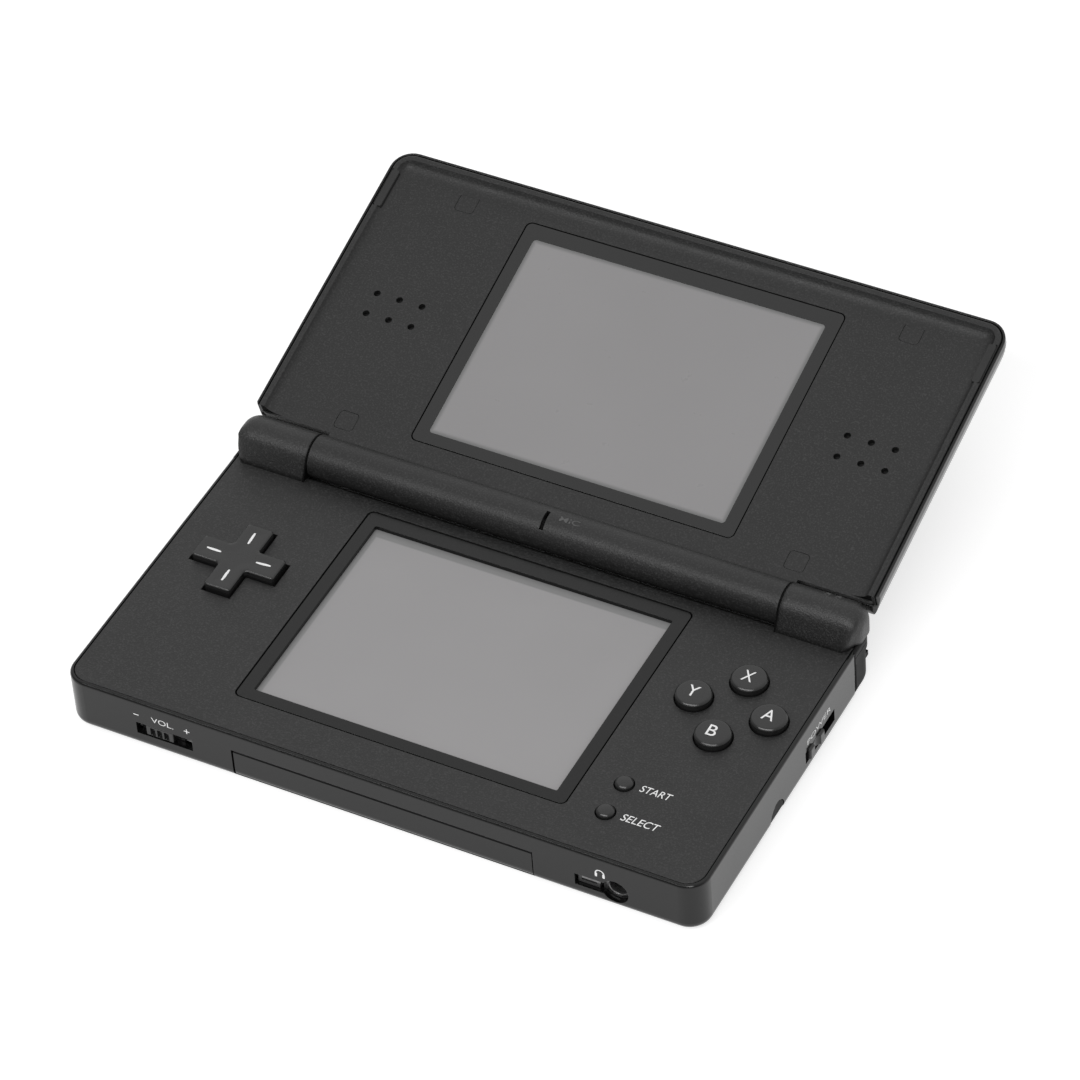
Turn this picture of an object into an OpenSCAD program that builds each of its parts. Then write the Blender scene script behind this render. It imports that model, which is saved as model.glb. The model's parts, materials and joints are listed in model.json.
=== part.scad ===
// Clamshell handheld game console, shown with its lid open.
// Millimetres, +Z up. The origin is the middle of the flat underside of the lower half.
// X runs to the player's right, Y runs back toward the hinge.

/* [Overall size] */
// Width of the lower half
body_w = 133; // [120:0.5:150]
// Depth of the lower half, front face to the back of the hinge barrel
body_d = 74.6; // [66:0.2:90]
// Thickness of the lower half
base_t = 12; // [11.6:0.1:14]
// Corner radius seen from above
corner_r = 4.5; // [3:0.5:8]
// Case wall thickness
wall = 1.3; // [1.1:0.1:1.8]

/* [Hinge] */
// How far the lid is open in the drawn pose
lid_open_deg = 165; // [0:1:170]
// Radius of the hinge barrel
barrel_r = 4.3; // [4:0.1:5]
// Height of the hinge axis above the underside
axis_z = 14.1; // [13.5:0.1:15]
// Distance from the middle to the seam between knuckle and barrel
knuckle_x = 50.4; // [44:0.2:54]
// Radius of the hinge shaft
shaft_r = 1.6; // [1.2:0.1:2]

/* [Lid] */
// Lid length, hinge axis to far edge
lid_len = 70.5; // [66:0.5:76]
// Height of the lip around the inner face
lip_h = 1.75; // [1:0.05:1.75]
// Thickness of the lid behind its inner face
lid_t = 7.5; // [7:0.1:8.5]

/* [Screens] */
// Visible width of both screens
screen_w = 63.4; // [60:0.2:66]
// Visible height of both screens
screen_d = 47.8; // [44:0.2:50]
// Width of the frame round each screen
frame_w = 69.4; // [66:0.2:72]
// Height of the frame round each screen
frame_d = 54.2; // [50:0.2:58]

/* [Controls] */
// Overall span of the direction pad
pad_span = 17.4; // [15:0.2:19]
// Width of each arm of the direction pad
pad_arm = 5.5; // [4.5:0.1:6.5]
// Diameter of the four face buttons
button_d = 7.1; // [6:0.1:8]
// Distance from the middle of the button diamond to each button
button_gap = 7.7; // [7:0.1:8.5]
// Diameter of the two small buttons
small_button_d = 3.5; // [3:0.1:4.5]

/* [Slots] */
// Width of the front slot cover
cover_w = 62.3; // [58:0.1:64]
// Height of the front slot cover
cover_h = 6.45; // [6:0.05:6.5]
// Width of the rear card slot
card_w = 34; // [33:0.2:36]
// Height of the rear card slot
card_h = 4.3; // [4.2:0.1:4.5]
// Radius of the headphone jack bore
jack_r = 1.8; // [1.6:0.05:2]

/* [View] */
// Which sub-part to draw

/* [Hidden] */
$fn = 64;

half_w = body_w / 2;
half_d = body_d / 2;
front = -half_d;
axis_y = half_d - barrel_r + 0.25;
lid_tilt = 180 - lid_open_deg;
// inner face of the lid, measured along its normal from the hinge axis
lid_face = 0.15;
lid_back = lid_face - lid_t;
lid_sheet_t = 1.2;
lid_under = lid_face - lid_sheet_t;
// strip of the outer shell that wraps round the inner frame
rim_w = 0.5;
rim_rise = lip_h - 0.2;
// gap between two fixed pieces, and beside a sliding one
fix_gap = 0.05;
slide_gap = 0.15;
// open seam between two casings
seam_gap = 0.2;
lid_half_w = half_w + 0.1;
lid_start = 5.4;

// lower case
inner_round = 0.75;
case_top = base_t;
plate_t = 1.2;
plate_under = base_t - plate_t;
// rounded top edge of the case, and how far inside it the seam of the plate runs
case_edge_r = 0.65;
plate_inset = 0.7;
floor_t = 1.3;
bottom_r = 2;
trough_r = barrel_r + 0.45;
trough_x = knuckle_x + 0.05;
plate_back = axis_y - trough_r + 0.15;
rear_wall_top = 9.2;

// screens
low_screen_y = -1.4;
low_frame_y = -1.1;
up_screen_y = 36.1;
up_frame_y = 36.5;
touch_top = base_t - 1;

// controls
pad_x = -50.8;
pad_y = 3.1;
pad_top = base_t + 1.4;
pad_hole_gap = 0.75;
pad_arm_gap = 0.4;
pad_pivot_z = 9.35;
button_x0 = 51.9;
button_y0 = 6;
button_top = base_t + 1.2;
button_hole_gap = 0.25;
small_x = 42.25;
start_y = -18.9;
select_y = -26.55;
small_top = base_t + 0.9;
// underside and flange top of the five round buttons and the pad
press_z = 9.62;
flange_top = 10.5;
flange_w = 0.8;
board_z = 7.3;
board_t = 0.8;
board_top = board_z + board_t;

// side and front features
vol_x0 = -50.9;
vol_x1 = -38.85;
vol_z0 = 3.6;
vol_z1 = 6.45;
vol_knob_x = -48.95;
vol_knob_w = 5.9;
cover_x = 1.05;
cover_z0 = 0.95;
tray_z0 = 2.1;
cover_z1 = cover_z0 + cover_h;
cover_x0 = cover_x - cover_w / 2;
cover_x1 = cover_x + cover_w / 2;
jack_x = 49.2;
jack_z = 4.4;
jack_len = 12;
power_y0 = 6.7;
power_y1 = 19.2;
power_z0 = 3.05;
power_z1 = 5.95;
power_knob_y = 7.9;
power_knob_l = 6;
stylus_y = -5.5;
stylus_z = 2.5;
stylus_r = 1.95;
stylus_len = 87.5;
shoulder_x = 53.2;
shoulder_y = 28.7;
shoulder_z0 = 0.9;
shoulder_z1 = 8.5;
shoulder_pin_x = 55;
shoulder_pin_y = 33.4;
shoulder_pin_r = 0.7;
switch_x = 61.4;
card_z0 = 2.2;
slot_back = -10.4;
dc_x = 26;
strap_x = -27;
indicator_xs = [57.9, 60.1];
flank_reach = 5.8;
cartridge_r = 3;
cartridge_len = 12.4;
slot_housing_w = 61.4;
slot_housing_top = 8.3;

// batteries
bat_x0 = -62.4;
bat_x1 = -34;
bat_y0 = -27;
bat_y1 = 19;

// fasteners
screw_r = 0.85;
screw_spots = [[-22.5, 29.5], [35.5, -33], [61, -30.5], [61.3, 22.8], [-61.4, 24.2], [-61, -33]];
plug_spots = [[-22.5, 29.5], [61.3, 22.8]];
cover_screw = [bat_x1 + 2.2, -4];
lid_screw_spots = [[-48.3, 9.1], [48.3, 9.1], [-48.3, 63.4], [48.3, 63.4]];

// lid details
mic_x = 0.35;
mic_z = 1.0;
speaker_x = 50.95;
bumper_x0 = lid_half_w - 2.15;
bumper_w = 1.2;
bumper_foot = lid_face + 0.6;
ribbon_x0 = -knuckle_x + 6.3;
ribbon_z = lid_under - 0.3;

// general shapes

module bx(x0, x1, y0, y1, z0, z1) {
    translate([x0, y0, z0])
        cube([x1 - x0, y1 - y0, z1 - z0]);
}

module cz(x, y, z0, z1, r) {
    translate([x, y, z0])
        cylinder(h = z1 - z0, r = r);
}

module cone_z(x, y, z0, z1, r0, r1) {
    translate([x, y, z0])
        cylinder(h = z1 - z0, r1 = r0, r2 = r1);
}

module cx(x0, x1, y, z, r) {
    translate([x0, y, z])
        rotate([0, 90, 0])
            cylinder(h = x1 - x0, r = r);
}

module cy(y0, y1, x, z, r) {
    translate([x, y0, z])
        rotate([-90, 0, 0])
            cylinder(h = y1 - y0, r = r);
}

// rounded rectangle standing on z0
module rr(x0, x1, y0, y1, z0, z1, r) {
    bx(x0 + r, x1 - r, y0, y1, z0, z1);
    bx(x0, x1, y0 + r, y1 - r, z0, z1);
    for (x = [x0 + r, x1 - r]) {
        for (y = [y0 + r, y1 - r]) {
            cz(x, y, z0, z1, r);
        }
    }
}

// quarter-round edge points, from the lower end to the upper end of the arc
function arc_up(cx0, cz0, r, a0, a1, n) =
    [for (i = [0:n]) [cx0 + r * cos(a0 + (a1 - a0) * i / n), cz0 + r * sin(a0 + (a1 - a0) * i / n)]];

// slab whose outer edge follows a profile; each profile point is
// [distance in from the outermost edge, height], listed from bottom to top
module edge_slab(hx, y0, y1, rc, prof) {
    zb = prof[0][1];
    zt = prof[len(prof) - 1][1];
    ring = concat([[0, zb]], [for (p = prof) [rc - p[0], p[1]]], [[0, zt]]);
    strip = concat([[-1, zb]], [for (p = prof) [rc - p[0], p[1]]], [[-1, zt]]);
    xr = hx - rc;
    corners = [[xr, y1 - rc], [-xr, y1 - rc], [-xr, y0 + rc], [xr, y0 + rc]];
    for (i = [0:3]) {
        translate(corners[i])
            rotate([0, 0, 90 * i])
                rotate_extrude(angle = 90)
                    polygon(ring);
    }
    side_strip(hx - rc, y0 + rc, y1 - rc, 0, strip);
    side_strip(hx - rc, y0 + rc, y1 - rc, 1, strip);
    end_strip(hx - rc, y1 - rc, 0, strip);
    end_strip(hx - rc, y0 + rc, 1, strip);
    bx(-hx + rc, hx - rc, y0 + rc, y1 - rc, zb, zt);
}

module side_strip(x, y0, y1, flip, strip) {
    mirror([flip, 0, 0])
        translate([x, y1, 0])
            rotate([90, 0, 0])
                linear_extrude(y1 - y0)
                    polygon(strip);
}

module end_strip(x, y, flip, strip) {
    translate([0, y, 0])
        mirror([0, flip, 0])
            translate([-x, 0, 0])
                rotate([90, 0, 90])
                    linear_extrude(2 * x)
                        polygon(strip);
}

// cross used for the direction pad and its opening
module cross(span, arm, z0, z1) {
    bx(pad_x - span / 2, pad_x + span / 2, pad_y - arm / 2, pad_y + arm / 2, z0, z1);
    bx(pad_x - arm / 2, pad_x + arm / 2, pad_y - span / 2, pad_y + span / 2, z0, z1);
}

module button_spots() {
    for (a = [0, 90, 180, 270]) {
        translate([button_x0 + button_gap * cos(a), button_y0 + button_gap * sin(a), 0])
            children();
    }
}

// rounded rectangle of a screen frame, smaller by inset all round
module frame_rect(inset, yc, z0, z1) {
    hw = frame_w / 2 - inset;
    hd = frame_d / 2 - inset;
    rr(-hw, hw, yc - hd, yc + hd, z0, z1, 1.4 - inset);
}

module in_lid() {
    translate([0, axis_y, axis_z])
        rotate([lid_tilt, 0, 0])
            children();
}

// casings of the lower half

module plate_blank() {
    edge = 0.1;
    inset = plate_inset + seam_gap;
    prof = [[0, plate_under], [0, base_t - edge], [edge, base_t]];
    edge_slab(half_w - inset, front + inset, half_d - inset, corner_r - inset, prof);
}

module knuckle(side) {
    end_r = 3.2;
    outer = half_w - 0.05 - knuckle_x;
    prof = concat(
        [[0, 0], [barrel_r, 0]],
        [for (p = arc_up(barrel_r - end_r, outer - end_r, end_r, 0, 90, 5)) p],
        [[0, outer]]
    );
    mirror([side, 0, 0])
        translate([knuckle_x, axis_y, axis_z])
            rotate([0, 90, 0])
                rotate_extrude()
                    polygon(prof);
}

// sloping flank that joins a knuckle to the plate
module knuckle_flank(side) {
    hx = half_w - plate_inset - seam_gap - fix_gap;
    y0 = axis_y - flank_reach;
    prof = [
        [y0 - 0.2, base_t - 0.5], [y0, base_t], [y0 + 2.3, base_t + 4],
        [axis_y, axis_z], [axis_y, base_t - 0.5]
    ];
    mirror([side, 0, 0])
        intersection() {
            translate([knuckle_x, 0, 0])
                rotate([90, 0, 90])
                    linear_extrude(half_w - knuckle_x)
                        polygon(prof);
            rr(knuckle_x - 9, hx, y0 - 0.1, half_d, base_t - 1, axis_z + 3, 2.8);
        }
}

module face_plate() {
    color("#2b2b2d")
        difference() {
            union() {
                difference() {
                    plate_blank();
                    trough_cut();
                    bx(-trough_x, trough_x, plate_back, half_d + 1, plate_under - 1, base_t + 1);
                }
                barrel_trough();
                for (s = [0, 1]) {
                    knuckle(s);
                    knuckle_flank(s);
                    mirror([s, 0, 0])
                        cz(shoulder_pin_x, shoulder_pin_y, shoulder_z1 + 0.3, plate_under + 0.1, 1.5);
                }
            }
            frame_rect(0, low_frame_y, plate_under - 1, base_t + 1);
            cross(pad_span + 2 * pad_hole_gap, pad_arm + 2 * pad_arm_gap, plate_under - 1, base_t + 1);
            button_spots()
                cz(0, 0, plate_under - 1, base_t + 1, button_d / 2 + button_hole_gap);
            for (y = [start_y, select_y]) {
                cz(small_x, y, plate_under - 1, base_t + 1, small_button_d / 2 + button_hole_gap);
            }
            // bores for the hinge parts
            cx(knuckle_x - 1, knuckle_x + cartridge_len + 0.2, axis_y, axis_z, cartridge_r + 0.03);
            cx(-knuckle_x - cartridge_len - 0.2, -knuckle_x + 1, axis_y, axis_z, cartridge_r + 0.03);
            // windows of the two indicator lights
            for (x = indicator_xs) {
                indicator_bar(x, 0.02, barrel_r + 1);
            }
            // upper seats of the shoulder button pins
            for (s = [-1, 1]) {
                cz(s * shoulder_pin_x, shoulder_pin_y, shoulder_z1, shoulder_z1 + 1.4, shoulder_pin_r + 0.03);
            }
        }
}

module trough_cut() {
    cx(-trough_x, trough_x, axis_y, axis_z, trough_r);
}

// curved wall under the hinge barrel, from the plate edge to the rear wall
module barrel_trough() {
    outer_r = trough_r + 1;
    front_top = plate_under + 0.6;
    rear = half_d - wall - fix_gap;
    difference() {
        intersection() {
            cx(-trough_x, trough_x, axis_y, axis_z, outer_r);
            bx(-half_w, half_w, axis_y - outer_r, rear, axis_z - outer_r - 1, front_top);
        }
        trough_cut();
        bx(-half_w, half_w, axis_y + 1.2, half_d, rear_wall_top + 0.25, base_t);
    }
}

// lens of an indicator light, wrapped over the knuckle
module indicator_bar(x, grow, outer_r) {
    half_t = 0.5 + grow;
    span_front = 2.1 + grow;
    span_rear = 2.6 + grow;
    intersection() {
        difference() {
            cx(x - half_t, x + half_t, axis_y, axis_z, outer_r);
            cx(x - 1, x + 1, axis_y, axis_z, cartridge_r + 0.35 - grow);
        }
        bx(x - 1, x + 1, axis_y - span_front, axis_y + span_rear, axis_z, axis_z + outer_r);
    }
}

module indicator_lenses() {
    color("#3a4a3a")
        for (x = indicator_xs) {
            indicator_bar(x, 0, barrel_r - 0.04);
        }
}

// body of the case with a rounded lower edge, and a rounded upper edge of radius top_r
module case_blank(inset, z0, z1, top_r) {
    r = max(bottom_r - inset, 0.6);
    prof = concat(
        [for (p = arc_up(-r, z0 + r, r, -90, 0, 6)) [-p[0], p[1]]],
        [for (p = arc_up(-top_r, z1 - top_r, top_r, 0, 90, 5)) [-p[0], p[1]]]
    );
    edge_slab(half_w - inset, front + inset, half_d - inset, corner_r - inset, prof);
}

// end cap of the stylus and the notch it fits
module stylus_cap_shape(grow, x0, x1) {
    cap_r = 2.7 + grow;
    cap_top = 4.3 + grow;
    cap_foot = 0.55 - grow;
    intersection() {
        union() {
            cx(x0, x1, stylus_y, cap_top - cap_r, cap_r);
            bx(x0, x1, stylus_y - cap_r, stylus_y + cap_r, cap_foot, cap_top - cap_r);
        }
        bx(x0, x1, stylus_y - cap_r, stylus_y + cap_r, cap_foot, cap_top + 1);
    }
}

// recess in the top of the case for the face plate
module plate_pocket() {
    hx = half_w - plate_inset;
    z0 = plate_under - fix_gap;
    rr(-hx, hx, front + plate_inset, half_d - plate_inset, z0, base_t + 1, corner_r - plate_inset);
}

module bay_wall(x0, x1, y0, y1) {
    bx(x0, x1, y0, y1, floor_t - 0.1, 6.6);
}

module lower_case() {
    root = floor_t - 0.1;
    notch_x = shoulder_x - 0.5;
    notch_y = shoulder_y - 1.1;
    tunnel_x0 = half_w - stylus_len - 1;
    rear = half_d - wall - 1;
    color("#222224")
        difference() {
            union() {
                difference() {
                    case_blank(0, 0, case_top, case_edge_r);
                    case_blank(wall, floor_t, case_top + 1, 0.2);
                    plate_pocket();
                }
                for (p = screw_spots) {
                    cz(p[0], p[1], root, board_z - 0.05, 2.4);
                }
                cz(cover_screw[0], cover_screw[1], root, 6, 2.2);
                // rails beside the stylus tunnel
                for (s = [-1, 1]) {
                    rail_y = stylus_y + s * (stylus_r + 0.65);
                    bx(tunnel_x0, half_w - wall, rail_y - 0.45, rail_y + 0.45, root, 4);
                }
                // walls of the battery bay
                bay_wall(bat_x1 + 0.4, bat_x1 + 1.2, bat_y0 - 0.8, bat_y1 + 0.8);
                bay_wall(bat_x0 - 0.6, bat_x1 + 1.2, bat_y1 + 0.4, bat_y1 + 1.2);
                bay_wall(bat_x0 - 0.6, bat_x1 + 1.2, bat_y0 - 1.2, bat_y0 - 0.4);
                // inner walls behind each shoulder button
                for (s = [0, 1]) {
                    mirror([s, 0, 0]) {
                        bx(shoulder_x - 1.5, notch_x, notch_y - 1, half_d - 1, root, rear_wall_top + 0.15);
                        bx(shoulder_x - 1.5, half_w - 1, notch_y - 1, notch_y, root, rear_wall_top + 0.15);
                    }
                }
            }
            // trough for the hinge barrel, the low rear wall under it, and room for the knuckles
            trough_cut();
            bx(-trough_x, trough_x, axis_y, half_d + 1, rear_wall_top, base_t + 1);
            cx(-half_w - 1, half_w + 1, axis_y, axis_z, barrel_r + fix_gap);
            // volume slot
            bx(vol_x0, vol_x1, front - 1, front + wall + 1, vol_z0, vol_z1);
            // shallow seat of the slot cover and the opening behind it
            translate([cover_x0 - seam_gap - 0.1, front - 1, cover_z0 - slide_gap])
                cube([cover_w + 2 * seam_gap + 0.2, 1.8, cover_h + 2 * slide_gap]);
            bx(cover_x0 + 1.5, cover_x1 - 1.5, front - 1, front + wall + 1, tray_z0 - 0.2, cover_z1 - 0.1);
            // headphone and headset port
            cy(front - 1, front + wall + 1, jack_x, jack_z, 2.7);
            bx(41, jack_x, front - 1, front + wall + 1, jack_z - 1.4, jack_z + 1.4);
            // power slot
            bx(half_w - wall - 1, half_w + 1, power_y0, power_y1, power_z0, power_z1);
            // stylus notch
            stylus_cap_shape(slide_gap, half_w - 3.4, half_w + 1);
            cx(tunnel_x0, half_w, stylus_y, stylus_z, stylus_r + slide_gap);
            // rear card slot
            bx(-card_w / 2, card_w / 2, rear, half_d + 1, card_z0, card_z0 + card_h);
            // power inlet and strap opening
            bx(dc_x - 4.2, dc_x + 4.2, rear, half_d + 1, 3, 7);
            bx(strap_x - 3, strap_x + 3, rear, half_d + 1, 2.4, 6);
            // corner openings for the shoulder buttons
            for (s = [0, 1]) {
                mirror([s, 0, 0])
                    difference() {
                        bx(notch_x, half_w + 1, notch_y, half_d + 1, shoulder_z0 - 0.25, shoulder_z1 + 0.25);
                        bx(half_w - wall, half_w + 1, notch_y - 1, shoulder_y - 0.55, 0, base_t);
                    }
            }
            // battery bay opening and the seat of its cover
            rr(bat_x0 + 0.8, bat_x1 - 0.8, bat_y0 + 0.8, bat_y1 - 0.8, -1, floor_t + 1, 1);
            battery_outline(0.4, -1, 0.85);
            // countersinks of the screws and of the two plugs
            for (p = screw_spots) {
                cz(p[0], p[1], -1, 1.65, 1.65);
                cz(p[0], p[1], -1, board_z + 1, 0.9);
            }
            for (p = plug_spots) {
                cz(p[0], p[1], -1, 1.1, 2.3);
            }
            cz(cover_screw[0], cover_screw[1], -1, 5, 0.9);
        }
}

// battery cover outline with a tab for its screw
module battery_outline(grow, z0, z1) {
    tab = 2.2 + grow;
    x = cover_screw[0];
    y = cover_screw[1];
    rr(bat_x0 - grow, bat_x1 + grow, bat_y0 - grow, bat_y1 + grow, z0, z1, 1 + grow);
    rr(bat_x1 - 3, x + tab, y - tab, y + tab, z0, z1, 1.2);
}

module screw(x, y, z0, head_r, len) {
    difference() {
        union() {
            cz(x, y, z0, z0 + 0.8, head_r);
            cz(x, y, z0, z0 + len, screw_r);
        }
        bx(x - 0.8, x + 0.8, y - 0.18, y + 0.18, z0 - 1, z0 + 0.4);
        bx(x - 0.18, x + 0.18, y - 0.8, y + 0.8, z0 - 1, z0 + 0.4);
    }
}

module case_screws() {
    color("#9a9a9c")
        for (p = screw_spots) {
            screw(p[0], p[1], 0.82, 1.55, 5.9);
        }
}

module screw_plugs() {
    color("#1c1c1d")
        for (p = plug_spots) {
            cz(p[0], p[1], 0, 0.75, 2.25);
        }
}

module battery_cover() {
    color("#222224")
        difference() {
            battery_outline(0.25, 0, 0.8);
            cz(cover_screw[0], cover_screw[1], -1, 2, 0.95);
            cz(cover_screw[0], cover_screw[1], -1, 0.45, 1.65);
            for (i = [0:3]) {
                bx(bat_x0 + 4, bat_x1 - 10, bat_y1 - 8 + 1.4 * i, bat_y1 - 7.6 + 1.4 * i, -1, 0.2);
            }
        }
}

module battery_cover_screw() {
    x = cover_screw[0];
    y = cover_screw[1];
    color("#9a9a9c")
        difference() {
            union() {
                cz(x, y, 0.05, 0.43, 1.55);
                cz(x, y, 0.05, 4.5, screw_r);
            }
            bx(x - 1, x + 1, y - 0.18, y + 0.18, -1, 0.25);
            bx(x - 0.18, x + 0.18, y - 1, y + 1, -1, 0.25);
        }
}

module battery_pack() {
    color("#3f4750")
        rr(bat_x0 + 1.1, bat_x1 - 1.1, bat_y0 + 1.1, bat_y1 - 1.1, 0.9, 6.5, 1.2);
}

// electronics

module main_board() {
    color("#2e5a3c")
        difference() {
            union() {
                bx(-64, 64, -35, 26.2, board_z, board_top);
                bx(-51.2, 51.2, 26.1, 34, board_z, board_top);
            }
            translate([cover_x - slot_housing_w / 2 - 0.5, front, board_z - 1])
                cube([slot_housing_w + 1, slot_back + 0.4 - front, board_t + 2]);
            cz(pad_x, pad_y, board_z - 1, board_top + 1, 1.3);
        }
}

module processor_shield() {
    color("#a9abae")
        difference() {
            bx(38, 60, -1, 19, 5.2, board_z - 0.02);
            bx(38.3, 59.7, -0.7, 18.7, 4.5, board_z - 0.3);
        }
}

module radio_board() {
    color("#2f4f6a") {
        bx(-31, -19.5, 6, 24, 6.1, 6.7);
        bx(-28.5, -22, 9, 20, 6.7, board_z - 0.05);
    }
}

module lower_display() {
    color("#5c5e60")
        bx(-34, 34, low_screen_y - 26.6, low_screen_y + 26.6, 8.6, 10.5);
}

module touch_panel() {
    color("#8f8d8e")
        bx(-33.6, 33.6, low_screen_y - 26.2, low_screen_y + 26.2, 10.55, touch_top);
}

module lower_bezel() {
    lift = base_t - 0.08;
    color("#1d1d1f")
        difference() {
            frame_rect(0.15, low_frame_y, touch_top + 0.03, lift);
            translate([0, low_screen_y, touch_top])
                cube([screen_w, screen_d, 4], center = true);
        }
}

// direction pad

module d_pad() {
    flange_r = 9.6;
    color("#2c2c2e")
        difference() {
            union() {
                cross(pad_span, pad_arm, pad_pivot_z, pad_top - 0.3);
                cross(pad_span - 0.6, pad_arm - 0.6, pad_top - 0.4, pad_top);
                cz(pad_x, pad_y, pad_pivot_z - 0.15, pad_pivot_z - 0.15 + flange_w, flange_r);
            }
            translate([pad_x, pad_y, pad_pivot_z])
                sphere(r = 1.05);
            cone_z(pad_x, pad_y, pad_pivot_z - 1.2, pad_pivot_z - 0.1, 1.35, 1.0);
            // dish in the middle and a groove along each arm
            translate([pad_x, pad_y, pad_top + 13.6])
                sphere(r = 14);
            for (a = [0:90:270]) {
                translate([pad_x, pad_y, 0])
                    rotate([0, 0, a])
                        bx(-0.3, 0.3, 3.7, 6.9, pad_top - 0.15, pad_top + 1);
            }
        }
}

module d_pad_pivot() {
    color("#d8d8d6") {
        translate([pad_x, pad_y, pad_pivot_z])
            sphere(r = 1.0);
        cz(pad_x, pad_y, board_z + 0.1, pad_pivot_z, 0.55);
    }
}

module rubber_dome(x, y, r, z0, z1) {
    difference() {
        union() {
            cone_z(x, y, z0, z1 - 0.5, r, r * 0.62);
            cz(x, y, z1 - 0.5, z1, r * 0.62);
        }
        cone_z(x, y, z0 - 0.1, z1 - 1.1, r - 0.45, r * 0.62 - 0.35);
    }
}

module d_pad_membrane() {
    sheet_top = board_top + 0.45;
    dome_top = pad_pivot_z - 0.17;
    color("#6d6e70")
        difference() {
            union() {
                rr(pad_x - 9.4, pad_x + 9.4, pad_y - 9.4, pad_y + 9.4, board_top + 0.02, sheet_top - 0.1, 2);
                for (a = [0:90:270]) {
                    rubber_dome(pad_x + 6 * cos(a), pad_y + 6 * sin(a), 2.3, board_top + 0.02, dome_top);
                }
            }
            cz(pad_x, pad_y, board_top - 1, sheet_top + 1, 1.6);
        }
}

// face buttons

module face_button(dx, dy) {
    x = button_x0 + dx;
    y = button_y0 + dy;
    edge = 0.45;
    r = button_d / 2;
    prof = concat(
        [[0, press_z], [r + flange_w, press_z], [r + flange_w, flange_top], [r, flange_top]],
        arc_up(r - edge, button_top - edge - 0.12, edge, 0, 80, 4),
        [[1.6, button_top], [0, button_top]]
    );
    translate([x, y, 0])
        rotate_extrude()
            polygon(prof);
}

module button_a() {
    color("#2c2c2e")
        face_button(button_gap, 0);
}

module button_b() {
    color("#2c2c2e")
        face_button(0, -button_gap);
}

module button_x() {
    color("#2c2c2e")
        face_button(0, button_gap);
}

module button_y() {
    color("#2c2c2e")
        face_button(-button_gap, 0);
}

module button_membrane() {
    reach = button_gap + 3.9;
    color("#6d6e70") {
        difference() {
            translate([button_x0, button_y0, 0])
                rr(-reach, reach, -reach, reach, board_top + 0.02, board_top + 0.35, 4);
            button_spots()
                cz(0, 0, board_top - 1, board_top + 1, 2);
        }
        button_spots()
            rubber_dome(0, 0, 3.2, board_top + 0.02, press_z - 0.02);
    }
}

module small_button(y) {
    edge = 0.35;
    r = small_button_d / 2;
    prof = concat(
        [[0, press_z], [r + flange_w, press_z], [r + flange_w, flange_top], [r, flange_top]],
        arc_up(r - edge, small_top - edge - 0.1, edge, 0, 80, 4),
        [[0.6, small_top], [0, small_top]]
    );
    translate([small_x, y, 0])
        rotate_extrude()
            polygon(prof);
}

module start_button() {
    color("#2c2c2e")
        small_button(start_y);
}

module select_button() {
    color("#2c2c2e")
        small_button(select_y);
}

module start_select_membrane() {
    color("#6d6e70") {
        difference() {
            rr(small_x - 3, small_x + 3, select_y - 3, start_y + 3, board_top + 0.02, board_top + 0.35, 1);
            for (y = [start_y, select_y]) {
                cz(small_x, y, board_top - 1, board_top + 1, 1.2);
            }
        }
        for (y = [start_y, select_y]) {
            rubber_dome(small_x, y, 2, board_top + 0.02, press_z - 0.02);
        }
    }
}

// sliders on the front and the right side

module volume_slider() {
    x0 = vol_knob_x;
    x1 = vol_knob_x + vol_knob_w;
    yi = front + wall;
    zc = (vol_z0 + vol_z1) / 2;
    color("#2a2a2c")
        difference() {
            union() {
                bx(x0, x1, front + 0.15, yi + 0.3, vol_z0 + slide_gap, vol_z1 - slide_gap);
                bx(x0 - 1.6, x1 + 1.6, yi + 0.2, yi + 0.9, vol_z0 - 0.9, vol_z1 + 0.6);
                bx(x0 + 2.4, x0 + 3.5, yi + 0.8, yi + 1.9, zc - 0.6, zc + 0.6);
            }
            for (i = [0:3]) {
                bx(x0 + 1.0 + 1.1 * i, x0 + 1.5 + 1.1 * i, front - 1, front + 0.45, vol_z0, vol_z1);
            }
        }
}

module volume_control() {
    y0 = front + wall + 1.15;
    zc = (vol_z0 + vol_z1) / 2;
    color("#b9bbbd")
        difference() {
            bx(-51.6, -38.1, y0, y0 + 2.6, 2.9, board_z - 0.05);
            bx(vol_knob_x + 0.1, vol_knob_x + 10.2, y0 - 1, y0 + 1.2, zc - 0.8, zc + 0.8);
        }
}

module power_slider() {
    y0 = power_knob_y;
    y1 = power_knob_y + power_knob_l;
    xi = half_w - wall;
    zc = (power_z0 + power_z1) / 2;
    color("#2a2a2c")
        difference() {
            union() {
                bx(xi - 0.3, half_w + 0.55, y0, y1, power_z0 + slide_gap, power_z1 - slide_gap);
                bx(xi - 0.9, xi - 0.2, y0 - 1, y1 + 5.5, power_z0 - 0.6, power_z1 + 0.5);
                bx(xi - 1.9, xi - 0.8, y0 + 2.4, y0 + 3.6, zc - 0.6, zc + 0.6);
            }
            // thumb notch
            cz(half_w + 1.25, (y0 + y1) / 2, power_z0, power_z1, 1.3);
        }
}

module power_switch() {
    x1 = half_w - wall - 1.15;
    zc = (power_z0 + power_z1) / 2;
    color("#b9bbbd")
        difference() {
            bx(x1 - 2.0, x1, 7.4, 17.6, 2.4, board_z - 0.05);
            bx(x1 - 1.2, x1 + 1, power_knob_y + 2.1, power_knob_y + 7.2, zc - 0.8, zc + 0.8);
        }
}

// ports

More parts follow.
